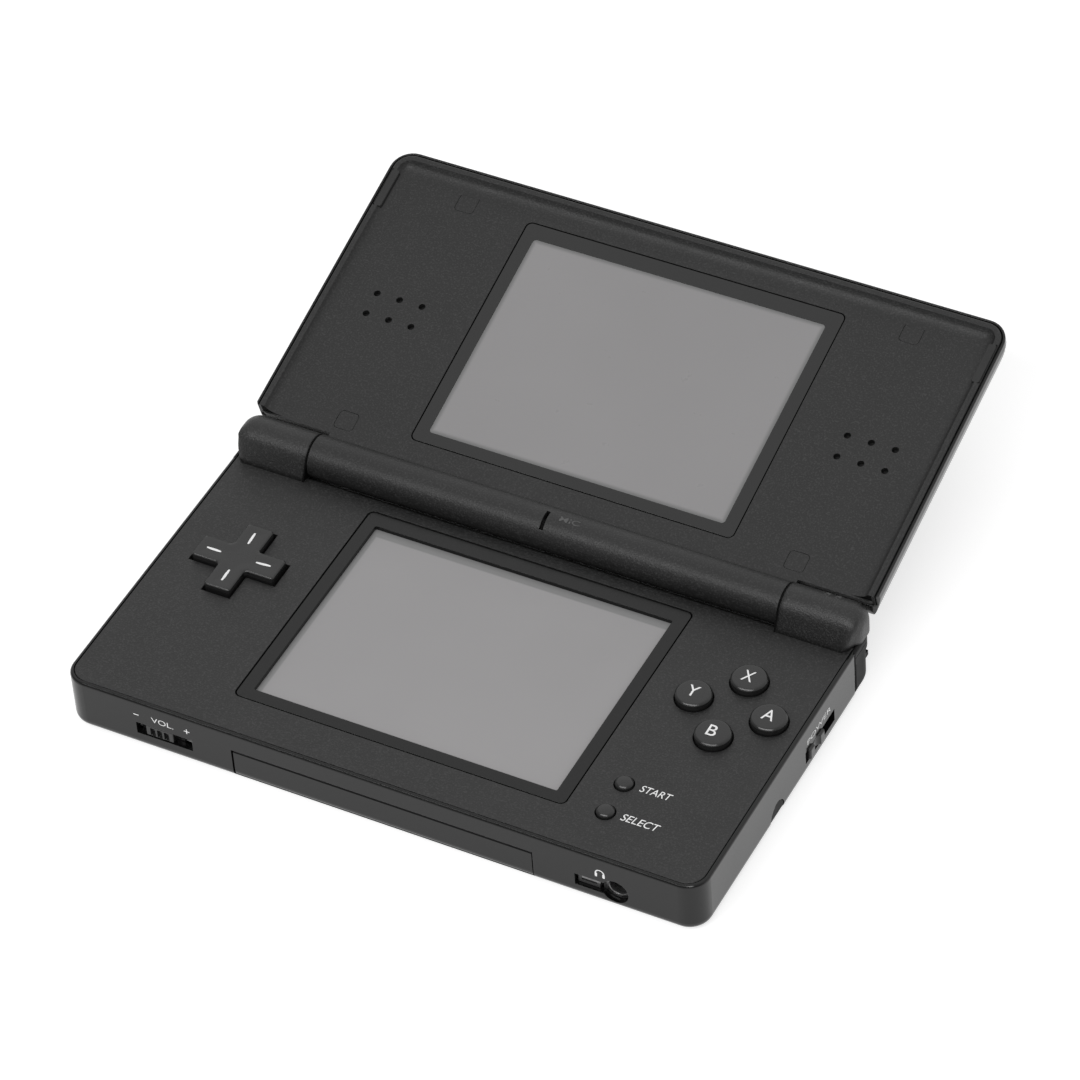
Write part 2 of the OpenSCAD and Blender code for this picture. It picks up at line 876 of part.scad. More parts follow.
module headphone_jack() {
    y0 = front + wall + 0.15;
    color("#3b3b3d")
        difference() {
            union() {
                bx(jack_x - 3.1, jack_x + 3.1, y0 + 0.1, y0 + jack_len, 1.45, board_z - 0.1);
                cy(front + 1.5, y0 + 2, jack_x, jack_z, 2.6);
            }
            cy(front - 1, y0 + jack_len - 0.8, jack_x, jack_z, jack_r);
        }
}

module headset_connector() {
    y0 = front + wall + 0.15;
    color("#77787a")
        difference() {
            bx(41.3, 45.7, y0 - 0.6, y0 + 6.5, jack_z - 1.3, jack_z + 1.3);
            bx(42, 45.1, y0 - 2, y0 + 4, jack_z - 0.7, jack_z + 0.7);
        }
}

module cartridge_slot() {
    x0 = cover_x - slot_housing_w / 2;
    x1 = cover_x + slot_housing_w / 2;
    y0 = front + wall + inner_round;
    color("#8d8f92")
        difference() {
            bx(x0, x1, y0, slot_back, floor_t + 0.02, slot_housing_top);
            bx(x0 + 0.8, x1 - 0.8, y0 - 1, slot_back - 0.8, floor_t + 0.6, 7.5);
        }
}

module slot_cover() {
    depth = 21;
    skin = 0.15;
    slope = [
        [front - 1, cover_z1 - 1.8], [front + skin, cover_z1 - 0.6],
        [front + 0.65, cover_z1 + 0.3], [front - 1, cover_z1 + 0.3]
    ];
    color("#27272a")
        difference() {
            union() {
                intersection() {
                    bx(cover_x0, cover_x1, front - 1, front + 0.75, cover_z0, cover_z1);
                    case_blank(skin, skin, case_top, case_edge_r);
                }
                bx(cover_x0 + 2.2, cover_x1 - 2.2, front + 0.7, front + depth, tray_z0, cover_z1 - 0.2);
            }
            // sloping upper edge of the front face
            translate([cover_x0 - 1, 0, 0])
                rotate([90, 0, 90])
                    linear_extrude(cover_w + 2)
                        polygon(slope);
            // open tray behind the front face
            translate([cover_x0 + 3.4, front + wall + 0.8, tray_z0 + 0.8])
                cube([cover_w - 6.8, depth - wall - 2, cover_h]);
        }
}

module card_slot() {
    x0 = -card_w / 2 - 0.9;
    x1 = card_w / 2 + 0.9;
    color("#8d8f92")
        difference() {
            bx(x0, x1, 0.6, half_d - wall - inner_round, card_z0 - 0.8, board_z - 0.05);
            bx(x0 + 0.9, x1 - 0.9, 1.4, half_d, card_z0, card_z0 + card_h);
        }
}

module power_connector() {
    color("#2d2d2f")
        difference() {
            bx(dc_x - 4.0, dc_x + 4.0, 28.4, half_d - 0.4, 3.15, 6.85);
            bx(dc_x - 3.2, dc_x + 3.2, 31, half_d, 4.0, 6.0);
        }
}

module strap_post() {
    color("#8a8c8f")
        cz(strap_x, half_d - wall - inner_round - 0.65, floor_t + 0.02, 7.2, 0.6);
}

// stylus

module stylus() {
    x1 = half_w - 0.1;
    tip = x1 - stylus_len;
    r = stylus_r - 0.05;
    shaft = stylus_len - 3;
    stylus_prof = [
        [0, 0], [0.45, 0.1], [0.75, 0.6], [0.95, 3.2], [r - 0.3, 6.5], [r, 9], [r, shaft], [0, shaft]
    ];
    color("#2c2c2e") {
        translate([tip, stylus_y, stylus_z])
            rotate([0, 90, 0])
                rotate_extrude()
                    polygon(stylus_prof);
        intersection() {
            stylus_cap_shape(0, x1 - 3.1, x1);
            case_blank(0.1, 0.1, case_top, case_edge_r);
        }
    }
}

// shoulder buttons

module shoulder_blank() {
    intersection() {
        difference() {
            case_blank(0.3, 0, case_top, case_edge_r);
            case_blank(1.5, 1.3, case_top + 1, 0.2);
        }
        bx(shoulder_x, half_w + 1, shoulder_y, half_d + 1, shoulder_z0, shoulder_z1);
    }
}

module shoulder_button_at(side) {
    zm = (shoulder_z0 + shoulder_z1) / 2;
    mirror([side, 0, 0])
        difference() {
            union() {
                shoulder_blank();
                // pivot block, rib and the finger that presses the switch
                translate([shoulder_x + 0.1, shoulder_pin_y - 1.5, shoulder_z0 + 1.6])
                    cube([3.5, half_d - shoulder_pin_y + 0.5, shoulder_z1 - shoulder_z0 - 3.1]);
                bx(shoulder_x + 3, half_w - 1, half_d - 3.2, half_d - 1, zm - 0.6, zm + 0.6);
                bx(switch_x - 0.8, switch_x + 0.8, shoulder_y + 2.9, half_d - 3, zm - 0.6, zm + 0.6);
            }
            cz(shoulder_pin_x, shoulder_pin_y, 0, base_t, shoulder_pin_r + 0.06);
        }
}

module shoulder_button_right() {
    color("#2c2c2e")
        shoulder_button_at(0);
}

module shoulder_button_left() {
    color("#2c2c2e")
        shoulder_button_at(1);
}

module shoulder_pins() {
    color("#b4b6b8")
        for (s = [-1, 1]) {
            cz(s * shoulder_pin_x, shoulder_pin_y, shoulder_z0 - 0.23, shoulder_z1 + 1.35, shoulder_pin_r);
        }
}

module shoulder_springs() {
    color("#b4b6b8")
        for (s = [-1, 1]) {
            for (i = [0:2]) {
                translate([s * shoulder_pin_x, shoulder_pin_y, 7.45 + 0.35 * i])
                    rotate_extrude()
                        translate([1.15, 0])
                            circle(r = 0.16, $fn = 24);
            }
        }
}

module shoulder_switches() {
    color("#b9bbbd")
        for (s = [0, 1]) {
            mirror([s, 0, 0]) {
                bx(switch_x - 2.8, switch_x + 2.8, shoulder_y - 1.05, shoulder_y + 1.7, 2.8, 6.6);
                cy(shoulder_y + 1.6, shoulder_y + 2.6, switch_x, 4.7, 0.8);
            }
        }
}

// hinge

module hinge_cartridge() {
    color("#a8aaad") {
        cx(knuckle_x + 0.6, knuckle_x + cartridge_len, axis_y, axis_z, cartridge_r);
        cx(knuckle_x - 6.5, knuckle_x + 0.7, axis_y, axis_z, shaft_r);
    }
}

module hinge_bush() {
    color("#4a4b4d")
        difference() {
            cx(-knuckle_x - cartridge_len, -knuckle_x + 4, axis_y, axis_z, cartridge_r);
            cx(-knuckle_x - cartridge_len - 1, -knuckle_x + 5, axis_y, axis_z, 2.1);
        }
}

// lid, drawn lying flat on its hinge axis and then tilted open

// cushion shape of the lid's outer side: [inset, height] for each level
lid_levels = [
    [8.2, lid_back], [6.0, lid_back + 0.18], [4.2, lid_back + 0.62], [2.7, lid_back + 1.4],
    [1.6, lid_back + 2.5], [0.8, lid_back + 4.0], [0.25, lid_back + 5.8], [0, lid_face - 0.2],
    [0, lid_face + rim_rise - 0.2], [0.06, lid_face + rim_rise - 0.06], [0.2, lid_face + rim_rise]
];

// rounded rectangle as a ring of points, counterclockwise from the right side
function ring(hx, y0, y1, r, z, n) = [
    for (k = [0:3])
        for (j = [0:n])
            let (
                a = 90 * (k + j / n),
                cx0 = (k == 0 || k == 3) ? hx - r : r - hx,
                cy0 = k < 2 ? y1 - r : y0 + r
            )
            [cx0 + r * cos(a), cy0 + r * sin(a), z]
];

module lid_outer_blank() {
    n = 8;
    m = 4 * (n + 1);
    top = len(lid_levels) - 1;
    points = [
        for (p = lid_levels)
            each ring(lid_half_w - p[0], lid_start - 6, lid_len - p[0], corner_r + 0.5 * p[0], p[1], n)
    ];
    sides = [
        for (i = [0:top - 1])
            for (j = [0:m - 1])
                let (a = i * m + j, b = i * m + (j + 1) % m)
                each [[a, a + m, b + m], [a, b + m, b]]
    ];
    caps = [[for (j = [0:m - 1]) j], [for (j = [m - 1:-1:0]) top * m + j]];
    polyhedron(points, concat(caps, sides));
}

// end of the lid beside the hinge: upright wall with a rounded lower edge
module lid_end_trim() {
    r = 4.4;
    difference() {
        bx(-lid_half_w - 1, lid_half_w + 1, lid_start - 8, lid_start + r, lid_back - 1, 4);
        bx(-lid_half_w - 2, lid_half_w + 2, lid_start, lid_start + r + 1, lid_back + r, 5);
        cx(-lid_half_w - 2, lid_half_w + 2, lid_start + r, lid_back + r, r);
    }
}

module lid_shell() {
    color("#222224")
        in_lid()
            difference() {
                union() {
                    difference() {
                        lid_outer_blank();
                        lid_end_trim();
                        lid_corner_trim();
                        // seat of the inner frame
                        lid_rect(rim_w, lid_start - 8, lid_under - fix_gap, lid_face + 3, corner_r - rim_w);
                        // hollow, in two steps that follow the cushion shape
                        lid_rect(5, lid_start + 2.2, lid_back + 1.8, lid_face, 3);
                        lid_rect(2.6, lid_start + 1.5, lid_back + 4, lid_face, 3);
                    }
                    for (p = lid_screw_spots) {
                        cz(p[0], p[1], lid_back + 1.7, lid_under - fix_gap, 2.5);
                    }
                }
                for (p = lid_screw_spots) {
                    cz(p[0], p[1], lid_face - 4, lid_face + 1, 0.9);
                }
                // passage of the display ribbon
                bx(ribbon_x0 - 0.3, ribbon_x0 + 5.3, lid_start - 1, lid_start + 2, ribbon_z - 0.5, lid_face);
            }
}

// rounded rectangle of the lid's plan, from y0 to the far edge
module lid_rect(inset, y0, z0, z1, r) {
    rr(-lid_half_w + inset, lid_half_w - inset, y0, lid_len - inset, z0, z1, r);
}

// small plan corners at the hinge end of the lid
module lid_corner_trim() {
    for (s = [0, 1]) {
        mirror([s, 0, 0])
            difference() {
                bx(lid_half_w - corner_r, lid_half_w + 1, lid_start - 1, lid_start + 1.2, lid_back - 1, 4);
                cz(lid_half_w - 1.8, lid_start + 1.8, lid_back - 2, 5, 1.8);
                bx(lid_half_w - corner_r - 1, lid_half_w - 1.8, lid_start - 2, lid_start + 2, lid_back - 2, 5);
            }
    }
}

module lid_lip() {
    band = 3.75;
    top = lid_face + lip_h;
    x1 = lid_half_w - rim_w - seam_gap;
    rc = corner_r - rim_w - seam_gap;
    prof = [
        [0, lid_under], [0, top - 0.35], [0.12, top - 0.12], [0.35, top], [0.8, top],
        [1.05, top - 0.12], [1.3, top - 0.4], [1.6, top - 0.75], [2, top - 1.08],
        [2.5, top - 1.35], [3.1, lid_face + 0.2], [band, lid_face - 0.03], [band, lid_under]
    ];
    far = lid_len - rim_w - seam_gap;
    run_y1 = far - rc;
    run_y0 = lid_start + 0.5;
    for (s = [0, 1]) {
        mirror([s, 0, 0]) {
            translate([x1, run_y1, 0])
                rotate([90, 0, 0])
                    linear_extrude(run_y1 - run_y0)
                        polygon([for (p = prof) [-p[0], p[1]]]);
            translate([x1 - rc, run_y1, 0])
                rotate_extrude(angle = 90)
                    polygon([for (p = prof) [rc - p[0], p[1]]]);
        }
    }
    translate([-x1 + rc, far, 0])
        rotate([90, 0, 90])
            linear_extrude(2 * (x1 - rc))
                polygon([for (p = prof) [-p[0], p[1]]]);
}

module lid_frame() {
    gap = rim_w + seam_gap;
    hx = lid_half_w - gap;
    bar = knuckle_x - seam_gap - fix_gap;
    color("#2b2b2d")
        in_lid()
            difference() {
                union() {
                    lid_rect(gap + 1, lid_start + 3, lid_under, lid_face, corner_r - gap - 1);
                    rr(-hx, hx, lid_start + 0.1, lid_start + 12, lid_under, lid_face, 1.7);
                    lid_lip();
                    cx(-bar, bar, 0, 0, barrel_r);
                    // web between the barrel and the flat frame
                    bx(-bar, bar, 0, lid_start - 0.1, -barrel_r + 0.9, lid_face);
                    bx(-bar, bar, 0, lid_start + 1, lid_under, lid_face);
                }
                frame_rect(0, up_frame_y, lid_face - 2, lid_face + 1);
                // speaker holes
                for (s = [-1, 1]) {
                    for (i = [-1:1]) {
                        for (v = [33.1, 38.1]) {
                            cz(s * speaker_x + 5 * i, v, lid_face - 2, lid_face + 1, 0.7);
                        }
                    }
                }
                // seats of the screw covers and the screw holes under them
                for (p = lid_screw_spots) {
                    rr(p[0] - 2.1, p[0] + 2.1, p[1] - 2.1, p[1] + 2.1, lid_face - 0.5, lid_face + 1, 0.9);
                    cz(p[0], p[1], lid_face - 2, lid_face + 1, 0.95);
                }
                // bores for the hinge shaft and bush, the ribbon passage and the hollow barrel
                cx(knuckle_x - 7, knuckle_x + 1, 0, 0, shaft_r + 0.05);
                cx(-knuckle_x - 1, -knuckle_x + 4.4, 0, 0, cartridge_r + 0.05);
                cx(-knuckle_x + 4, -knuckle_x + 10, 0, 0, 1.9);
                cx(-knuckle_x + 14.4, mic_x - 4.35, 0, 0, 2.8);
                cx(mic_x + 4.25, knuckle_x - 10, 0, 0, 2.8);
                bx(ribbon_x0 - 0.3, ribbon_x0 + 5.3, -1, lid_start + 2, ribbon_z - 0.5, ribbon_z + 0.15);
                // microphone slot and chamber
                bx(mic_x - 0.4, mic_x + 0.4, -2.5, 1.5, 1.6, barrel_r + 1);
                cy(-2.4, 1.4, mic_x, mic_z, 1.7);
                // pockets of the two side bumpers
                for (s = [0, 1]) {
                    mirror([s, 0, 0])
                        bx(bumper_x0 - 0.05, bumper_x0 + bumper_w + 0.05, 56.2, 65.4, bumper_foot, lid_face + 3);
                }
            }
}

module screw_covers() {
    color("#2f2f31")
        in_lid()
            for (p = lid_screw_spots) {
                rr(p[0] - 2.02, p[0] + 2.02, p[1] - 2.02, p[1] + 2.02, lid_face - 0.45, lid_face - 0.02, 0.82);
            }
}

module lid_screws() {
    color("#9a9a9c")
        in_lid()
            for (p = lid_screw_spots) {
                difference() {
                    cz(p[0], p[1], lid_face - 3.4, lid_face - 0.52, screw_r);
                    bx(p[0] - 0.5, p[0] + 0.5, p[1] - 0.15, p[1] + 0.15, lid_face - 0.8, lid_face);
                }
            }
}

module lid_bumpers() {
    color("#3a3a3c")
        in_lid()
            for (s = [0, 1]) {
                mirror([s, 0, 0])
                    translate([bumper_x0, 56.25, bumper_foot + 0.02])
                    cube([bumper_w, 9.1, lip_h - 0.56]);
            }
}

module upper_display() {
    color("#8f8d8e")
        in_lid()
            bx(-34, 34, up_screen_y - 26.4, up_screen_y + 26.4, lid_face - 3.5, lid_face - 1.22);
}

module upper_window() {
    color("#454547")
        in_lid()
            frame_rect(0.12, up_frame_y, lid_under + 0.1, lid_face - 0.05);
}

module speaker_at(s) {
    in_lid() {
        cz(s * speaker_x, 35.6, lid_face - 3.0, lid_face - 1.6, 8);
        cz(s * speaker_x, 35.6, lid_face - 3.9, lid_face - 2.9, 5.4);
    }
}

module speaker_left() {
    color("#6b6c6e")
        speaker_at(-1);
}

module speaker_right() {
    color("#6b6c6e")
        speaker_at(1);
}

module speaker_gauze() {
    color("#161617")
        in_lid()
            for (s = [-1, 1]) {
                rr(s * speaker_x - 8, s * speaker_x + 8, 30, 41.2, lid_face - 1.5, lid_face - 1.22, 2);
            }
}

module microphone() {
    color("#8e9093")
        in_lid()
            cy(-1.6, 0.6, mic_x, mic_z, 1.2);
}

module microphone_boot() {
    color("#1b1b1c")
        in_lid()
            difference() {
                cy(-2.3, 1.3, mic_x, mic_z, 1.66);
                cy(-1.65, 0.65, mic_x, mic_z, 1.24);
                bx(mic_x - 0.35, mic_x + 0.35, -2.4, 1.4, 1.5, 4);
            }
}

module display_ribbon() {
    x1 = ribbon_x0 + 5;
    fold_y = lid_start + 3.6;
    color("#b5732e")
        in_lid() {
            difference() {
                cx(ribbon_x0 - 1.4, ribbon_x0 + 3, 0, 0, 1.5);
                cx(ribbon_x0 - 2, ribbon_x0 + 3.5, 0, 0, 1.3);
            }
            bx(ribbon_x0, x1, 0.3, fold_y, ribbon_z - 0.2, ribbon_z);
            bx(ribbon_x0, x1, fold_y - 0.2, fold_y, ribbon_z - 1.3, ribbon_z);
        }
}

face_plate();
lower_case();
battery_cover();
battery_cover_screw();
battery_pack();
main_board();
processor_shield();
radio_board();
lower_display();
touch_panel();
lower_bezel();
d_pad();
d_pad_pivot();
d_pad_membrane();
button_a();
button_b();
button_x();
button_y();
button_membrane();
start_button();
select_button();
start_select_membrane();
power_slider();
power_switch();
volume_slider();
volume_control();
headphone_jack();
headset_connector();
cartridge_slot();
slot_cover();
card_slot();
stylus();
shoulder_button_left();
shoulder_button_right();
shoulder_pins();
shoulder_springs();
shoulder_switches();
power_connector();
strap_post();
hinge_cartridge();
hinge_bush();
case_screws();
screw_plugs();
indicator_lenses();
lid_frame();
lid_shell();
upper_display();
upper_window();
speaker_left();
speaker_right();
speaker_gauze();
screw_covers();
lid_screws();
lid_bumpers();
microphone();
microphone_boot();
display_ribbon();
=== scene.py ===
"""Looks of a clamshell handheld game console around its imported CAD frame."""
import json
import math

import bmesh
import bpy
from mathutils import Matrix, Vector


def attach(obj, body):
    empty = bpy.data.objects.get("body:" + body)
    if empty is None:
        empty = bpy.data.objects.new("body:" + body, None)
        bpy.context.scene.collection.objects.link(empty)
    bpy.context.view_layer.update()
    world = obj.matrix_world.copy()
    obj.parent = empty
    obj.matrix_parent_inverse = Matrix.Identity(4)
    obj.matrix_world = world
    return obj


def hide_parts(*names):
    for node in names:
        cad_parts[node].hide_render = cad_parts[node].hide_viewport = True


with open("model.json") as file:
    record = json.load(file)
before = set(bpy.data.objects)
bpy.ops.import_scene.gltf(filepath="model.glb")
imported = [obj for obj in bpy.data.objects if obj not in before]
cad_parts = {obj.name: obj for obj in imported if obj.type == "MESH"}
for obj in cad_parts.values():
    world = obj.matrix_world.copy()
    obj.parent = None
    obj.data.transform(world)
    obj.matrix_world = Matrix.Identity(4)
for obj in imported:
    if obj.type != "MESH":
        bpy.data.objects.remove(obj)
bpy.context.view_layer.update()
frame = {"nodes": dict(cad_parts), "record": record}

MM = 0.001

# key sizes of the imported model, in millimetres

# lower case: height of its top, and its front, rear and side faces
BASE_TOP = 12.0
FRONT, REAR = -37.3, 37.3
SIDE = 66.5

# hinge axis, barrel, and the tilt of the lid at rest
AXIS_Y, AXIS_Z = 33.25, 14.1
BARREL_R = 4.3
LID_TILT = math.radians(15)

# lid, measured from the hinge axis along and across the lid: its face and the lip around it
LID_FACE = 0.15
LIP_TOP = 1.9
LIP_X, LIP_FAR, LIP_START = 65.9, 69.8, 5.9

# controls: centres, half widths or radii, and heights of their tops
PAD = Vector((-50.8, 3.1))
PAD_TOP = 13.45
PAD_ARM, PAD_REACH = 2.83, 8.9
BUTTONS = {"a": (59.6, 6.0), "b": (51.9, -1.7), "x": (51.9, 13.7), "y": (44.2, 6.0)}
BUTTON_TOP, BUTTON_R = 13.55, 3.55
SMALL_X, SMALL_R = 42.25, 1.75
SMALL_BUTTONS = {"start": -18.9, "select": -26.55}
SMALL_TOP = 12.9

# screens and the frames around them: half sizes and the y of their centres
SCREEN = (31.7, 23.9)
LOW_SCREEN_Y, UP_SCREEN_Y = -1.4, 36.1
LOW_FRAME_Y, UP_FRAME_Y = -1.1, 36.5
FRAME_HALF = (34.7, 27.1)
TOUCH_TOP = 11.0


# camera at the photograph's viewing angle

def make_camera():
    """Camera fitted to the photograph; right, down and ahead are its axes."""
    data = bpy.data.cameras.new("camera")
    data.sensor_width = 36
    data.lens = 186.52
    data.clip_start, data.clip_end = 0.05, 50
    cam = bpy.data.objects.new("camera", data)
    bpy.context.scene.collection.objects.link(cam)
    right = Vector((0.88830028, 0.45578861, -0.05638579))
    down = Vector((0.28141834, -0.63722225, -0.71746186))
    ahead = Vector((-0.36294123, 0.62145357, -0.69431198))
    turn = Matrix((right, -down, -ahead)).transposed().to_4x4()
    cam.matrix_world = Matrix.Translation((0.385915, -0.630783, 0.752176)) @ turn
    bpy.context.scene.camera = cam


make_camera()
bpy.context.scene.view_settings.view_transform = "Standard"


# materials

class Nodes:
    """Small helper that adds and links shader nodes."""

    def __init__(self, name):
        self.material = bpy.data.materials.new(name)
        self.material.use_nodes = True
        self.tree = self.material.node_tree
        self.shader = self.tree.nodes["Principled BSDF"]
        self.out = self.tree.nodes["Material Output"]

    def add(self, kind, inputs=None, **settings):
        node = self.tree.nodes.new(kind)
        for key, value in settings.items():
            setattr(node, key, value)
        for key, value in (inputs or {}).items():
            self.feed(node, key, value)
        return node

    def feed(self, node, key, value):
        if isinstance(value, bpy.types.NodeSocket):
            self.tree.links.new(value, node.inputs[key])
        else:
            node.inputs[key].default_value = value

    def place(self):
        return self.add("ShaderNodeTexCoord").outputs["Object"]

    def noise(self, scale, detail=3.0, rough=0.5):
        inputs = {"Vector": self.place(), "Scale": scale, "Detail": detail, "Roughness": rough}
        return self.add("ShaderNodeTexNoise", inputs).outputs[0]

    def spread(self, value, low, high, from_low=0.3, from_high=0.7):
        """value stretched from one range to another, clamped."""
        inputs = {0: value, 1: from_low, 2: from_high, 3: low, 4: high}
        return self.add("ShaderNodeMapRange", inputs, clamp=True).outputs[0]

    def math(self, operation, a, b=0.0):
        return self.add("ShaderNodeMath", {0: a, 1: b}, operation=operation).outputs[0]

    def mix(self, factor, a, b):
        node = self.add("ShaderNodeMix", {0: factor, 6: a, 7: b}, data_type="RGBA")
        return node.outputs[2]

    def rounded(self, radius):
        """Normal of the surface with its sharp edges eased by a radius in millimetres."""
        return self.add("ShaderNodeBevel", {"Radius": radius * MM}, samples=6).outputs[0]

    def edges(self, reach):
        """1 along edges, 0 on open faces."""
        flat = self.add("ShaderNodeNewGeometry").outputs["Normal"]
        both = {0: self.rounded(reach), 1: flat}
        facing = self.add("ShaderNodeVectorMath", both, operation="DOT_PRODUCT").outputs["Value"]
        return self.spread(facing, 1, 0, 0.75, 0.98)

    def relief(self, height, strength, depth, base=None):
        inputs = {"Strength": strength, "Distance": depth * MM, "Height": height}
        if base:
            inputs["Normal"] = base
        return self.add("ShaderNodeBump", inputs).outputs[0]


def grey(level, rosy=0.0):
    """Linear colour of an sRGB grey from 0 to 255, which may lean a little to rose."""
    value = level / 255
    value = value / 12.92 if value < 0.04045 else ((value + 0.055) / 1.055) ** 2.4
    return (value * (1 + rosy), value * (1 - rosy), value, 1)


# of every plastic: change of roughness by smudges, depth of the grain, reach of the wear at edges
SMUDGE, GRAIN_DEPTH, WEAR_REACH = 0.04, 0.05, 0.22


def plastic(name, level, rough, grain=0.0, grain_size=0.2, tone=0.06, gloss=0.5, wear=14, ease=0.07):
    """Moulded plastic: spark-eroded grain, slow changes of tone, handled edges and faint smudges.

    level is the grey of the face, wear is added to it along the edges and grain in the specks;
    grain_size and ease, the rounding of edges in the shading, are in millimetres.
    """
    n = Nodes(name)
    fine = n.noise(1 / (grain_size * MM), 2, 0.6)
    slow = n.spread(n.noise(45, 2), 0, 1)
    colour = n.mix(slow, grey(level * (1 - tone)), grey(level * (1 + tone)))
    speck = n.spread(fine, 0, 0.45, 0.5, 0.72)
    colour = n.mix(speck, colour, grey(level + 10 + grain * 24))
    worn = n.math("MULTIPLY", n.edges(WEAR_REACH), n.spread(n.noise(420, 4, 0.7), 0.25, 0.9, 0.4, 0.66))
    colour = n.mix(worn, colour, grey(level + wear))
    n.feed(n.shader, "Base Color", colour)
    streaks = n.spread(n.noise(160, 4, 0.65), rough - SMUDGE, rough + SMUDGE)
    n.feed(n.shader, "Roughness", n.math("SUBTRACT", streaks, n.math("MULTIPLY", worn, 0.08)))
    n.shader.inputs["Specular IOR Level"].default_value = gloss
    normal = n.rounded(ease)
    if grain:
        normal = n.relief(fine, grain, GRAIN_DEPTH, normal)
    n.feed(n.shader, "Normal", normal)
    return n.material


def metal(name, level, rough):
    """Plated sheet or turned metal with fine brushing."""
    n = Nodes(name)
    n.shader.inputs["Metallic"].default_value = 1
    brushed = n.noise(2500, 3, 0.6)
    n.feed(n.shader, "Base Color", n.mix(n.spread(brushed, 0, 1), grey(level - 14), grey(level + 10)))
    n.feed(n.shader, "Roughness", n.spread(n.noise(600, 4), rough - 0.08, rough + 0.1))
    n.feed(n.shader, "Normal", n.relief(brushed, 0.15, 0.02, n.rounded(0.06)))
    return n.material


def paint(name, level, rough):
    """Printed lettering with a slightly uneven film."""
    n = Nodes(name)
    film = n.noise(1500, 3, 0.6)
    n.feed(n.shader, "Base Color", n.mix(n.spread(film, 0, 1), grey(level - 10), grey(level + 5)))
    n.feed(n.shader, "Roughness", n.spread(film, rough, rough + 0.12))
    n.feed(n.shader, "Normal", n.relief(film, 0.1, 0.02))
    return n.material


def display(name, levels, centre, tilt, rough, shift=(0, 0), fade=(0.1, 1.1)):
    """Unlit display: even grey that darkens toward its border.

    levels are the greys inside and at the border, shift moves the even part, and fade gives
    the distances from its border, in millimetres, between which one grey turns into the other.
    """
    level, edge_level = levels
    n = Nodes(name)
    along = (0, math.cos(tilt), math.sin(tilt))
    where = n.place()
    reach = []
    for axis, middle, half in (((1, 0, 0), shift[0], SCREEN[0]), (along, centre + shift[1], SCREEN[1])):
        inputs = {0: where, 1: axis}
        dot = n.add("ShaderNodeVectorMath", inputs, operation="DOT_PRODUCT").outputs["Value"]
        off = n.math("ABSOLUTE", n.math("SUBTRACT", dot, middle * MM))
        reach.append(n.math("SUBTRACT", half * MM, off))
    border = n.math("MINIMUM", reach[0], reach[1])
    limits = {0: border, 1: fade[0] * MM, 2: fade[1] * MM, 3: 0, 4: 1}
    inside = n.add("ShaderNodeMapRange", limits, interpolation_type="SMOOTHSTEP").outputs[0]
    cloud = n.spread(n.noise(30, 2), 0, 1)
    body = n.mix(cloud, grey(level - 1, 0.011), grey(level + 2, 0.011))
    # on the lower screen this darker border is painted shadow of the bezel
    n.feed(n.shader, "Base Color", n.mix(inside, grey(edge_level), body))
    n.feed(n.shader, "Roughness", n.spread(n.noise(240, 4, 0.7), rough - 0.03, rough + 0.05))
    n.shader.inputs["Specular IOR Level"].default_value = 0.25
    return n.material


# the upper screen's centre, measured along the tilted lid from the frame's origin
UP_SCREEN_ALONG = UP_SCREEN_Y + AXIS_Y * math.cos(LID_TILT) + AXIS_Z * math.sin(LID_TILT)

# what the three main finishes have in common
MATTE = {"grain": 1.3, "grain_size": 0.36, "gloss": 0.4, "ease": 0.11}
GLOSSY = {"grain": 0.03, "grain_size": 0.5, "tone": 0.03}
CONTROL = {"grain": 0.06, "grain_size": 0.22, "tone": 0.03, "gloss": 0.48, "wear": 22}

# one material for each material slot of the record
MATERIALS = {
    "matte_black": plastic("matte_black", 25, 0.45, **MATTE),
    "gloss_black": plastic("gloss_black", 12, 0.15, gloss=0.35, wear=18, **GLOSSY),
    "control_black": plastic("control_black", 25, 0.25, **CONTROL),
    # lower screen: the even part is shifted right and forward, so the darker band along the left and rear
    # edges is painted shadow of the bezel
    "display_grey": display("display_grey", (150, 129), LOW_SCREEN_Y, 0.0, 0.4, (1.1, -1.9), (-0.3, 0.2)),
    "window_dark": plastic("window_dark", 48, 0.2, tone=0.02, wear=8),
    "display_module": plastic("display_module", 96, 0.5),
    "board_green": plastic("board_green", 84, 0.5),
    "board_blue": plastic("board_blue", 84, 0.5),
    "shield_metal": metal("shield_metal", 170, 0.35),
    "spring_metal": metal("spring_metal", 180, 0.3),
    "battery_grey": plastic("battery_grey", 80, 0.45),
    "switch_white": plastic("switch_white", 190, 0.4),
    "connector_black": plastic("connector_black", 52, 0.4),
    "membrane_rubber": plastic("membrane_rubber", 110, 0.7),
    "soft_rubber": plastic("soft_rubber", 30, 0.7, grain=0.3, wear=8),
    "speaker_metal": metal("speaker_metal", 130, 0.4),
    "gauze_black": plastic("gauze_black", 12, 0.8),
    "ribbon_amber": plastic("ribbon_amber", 130, 0.35),
    "lens_smoke": plastic("lens_smoke", 56, 0.36, tone=0.02, gloss=0.3, wear=3),
}

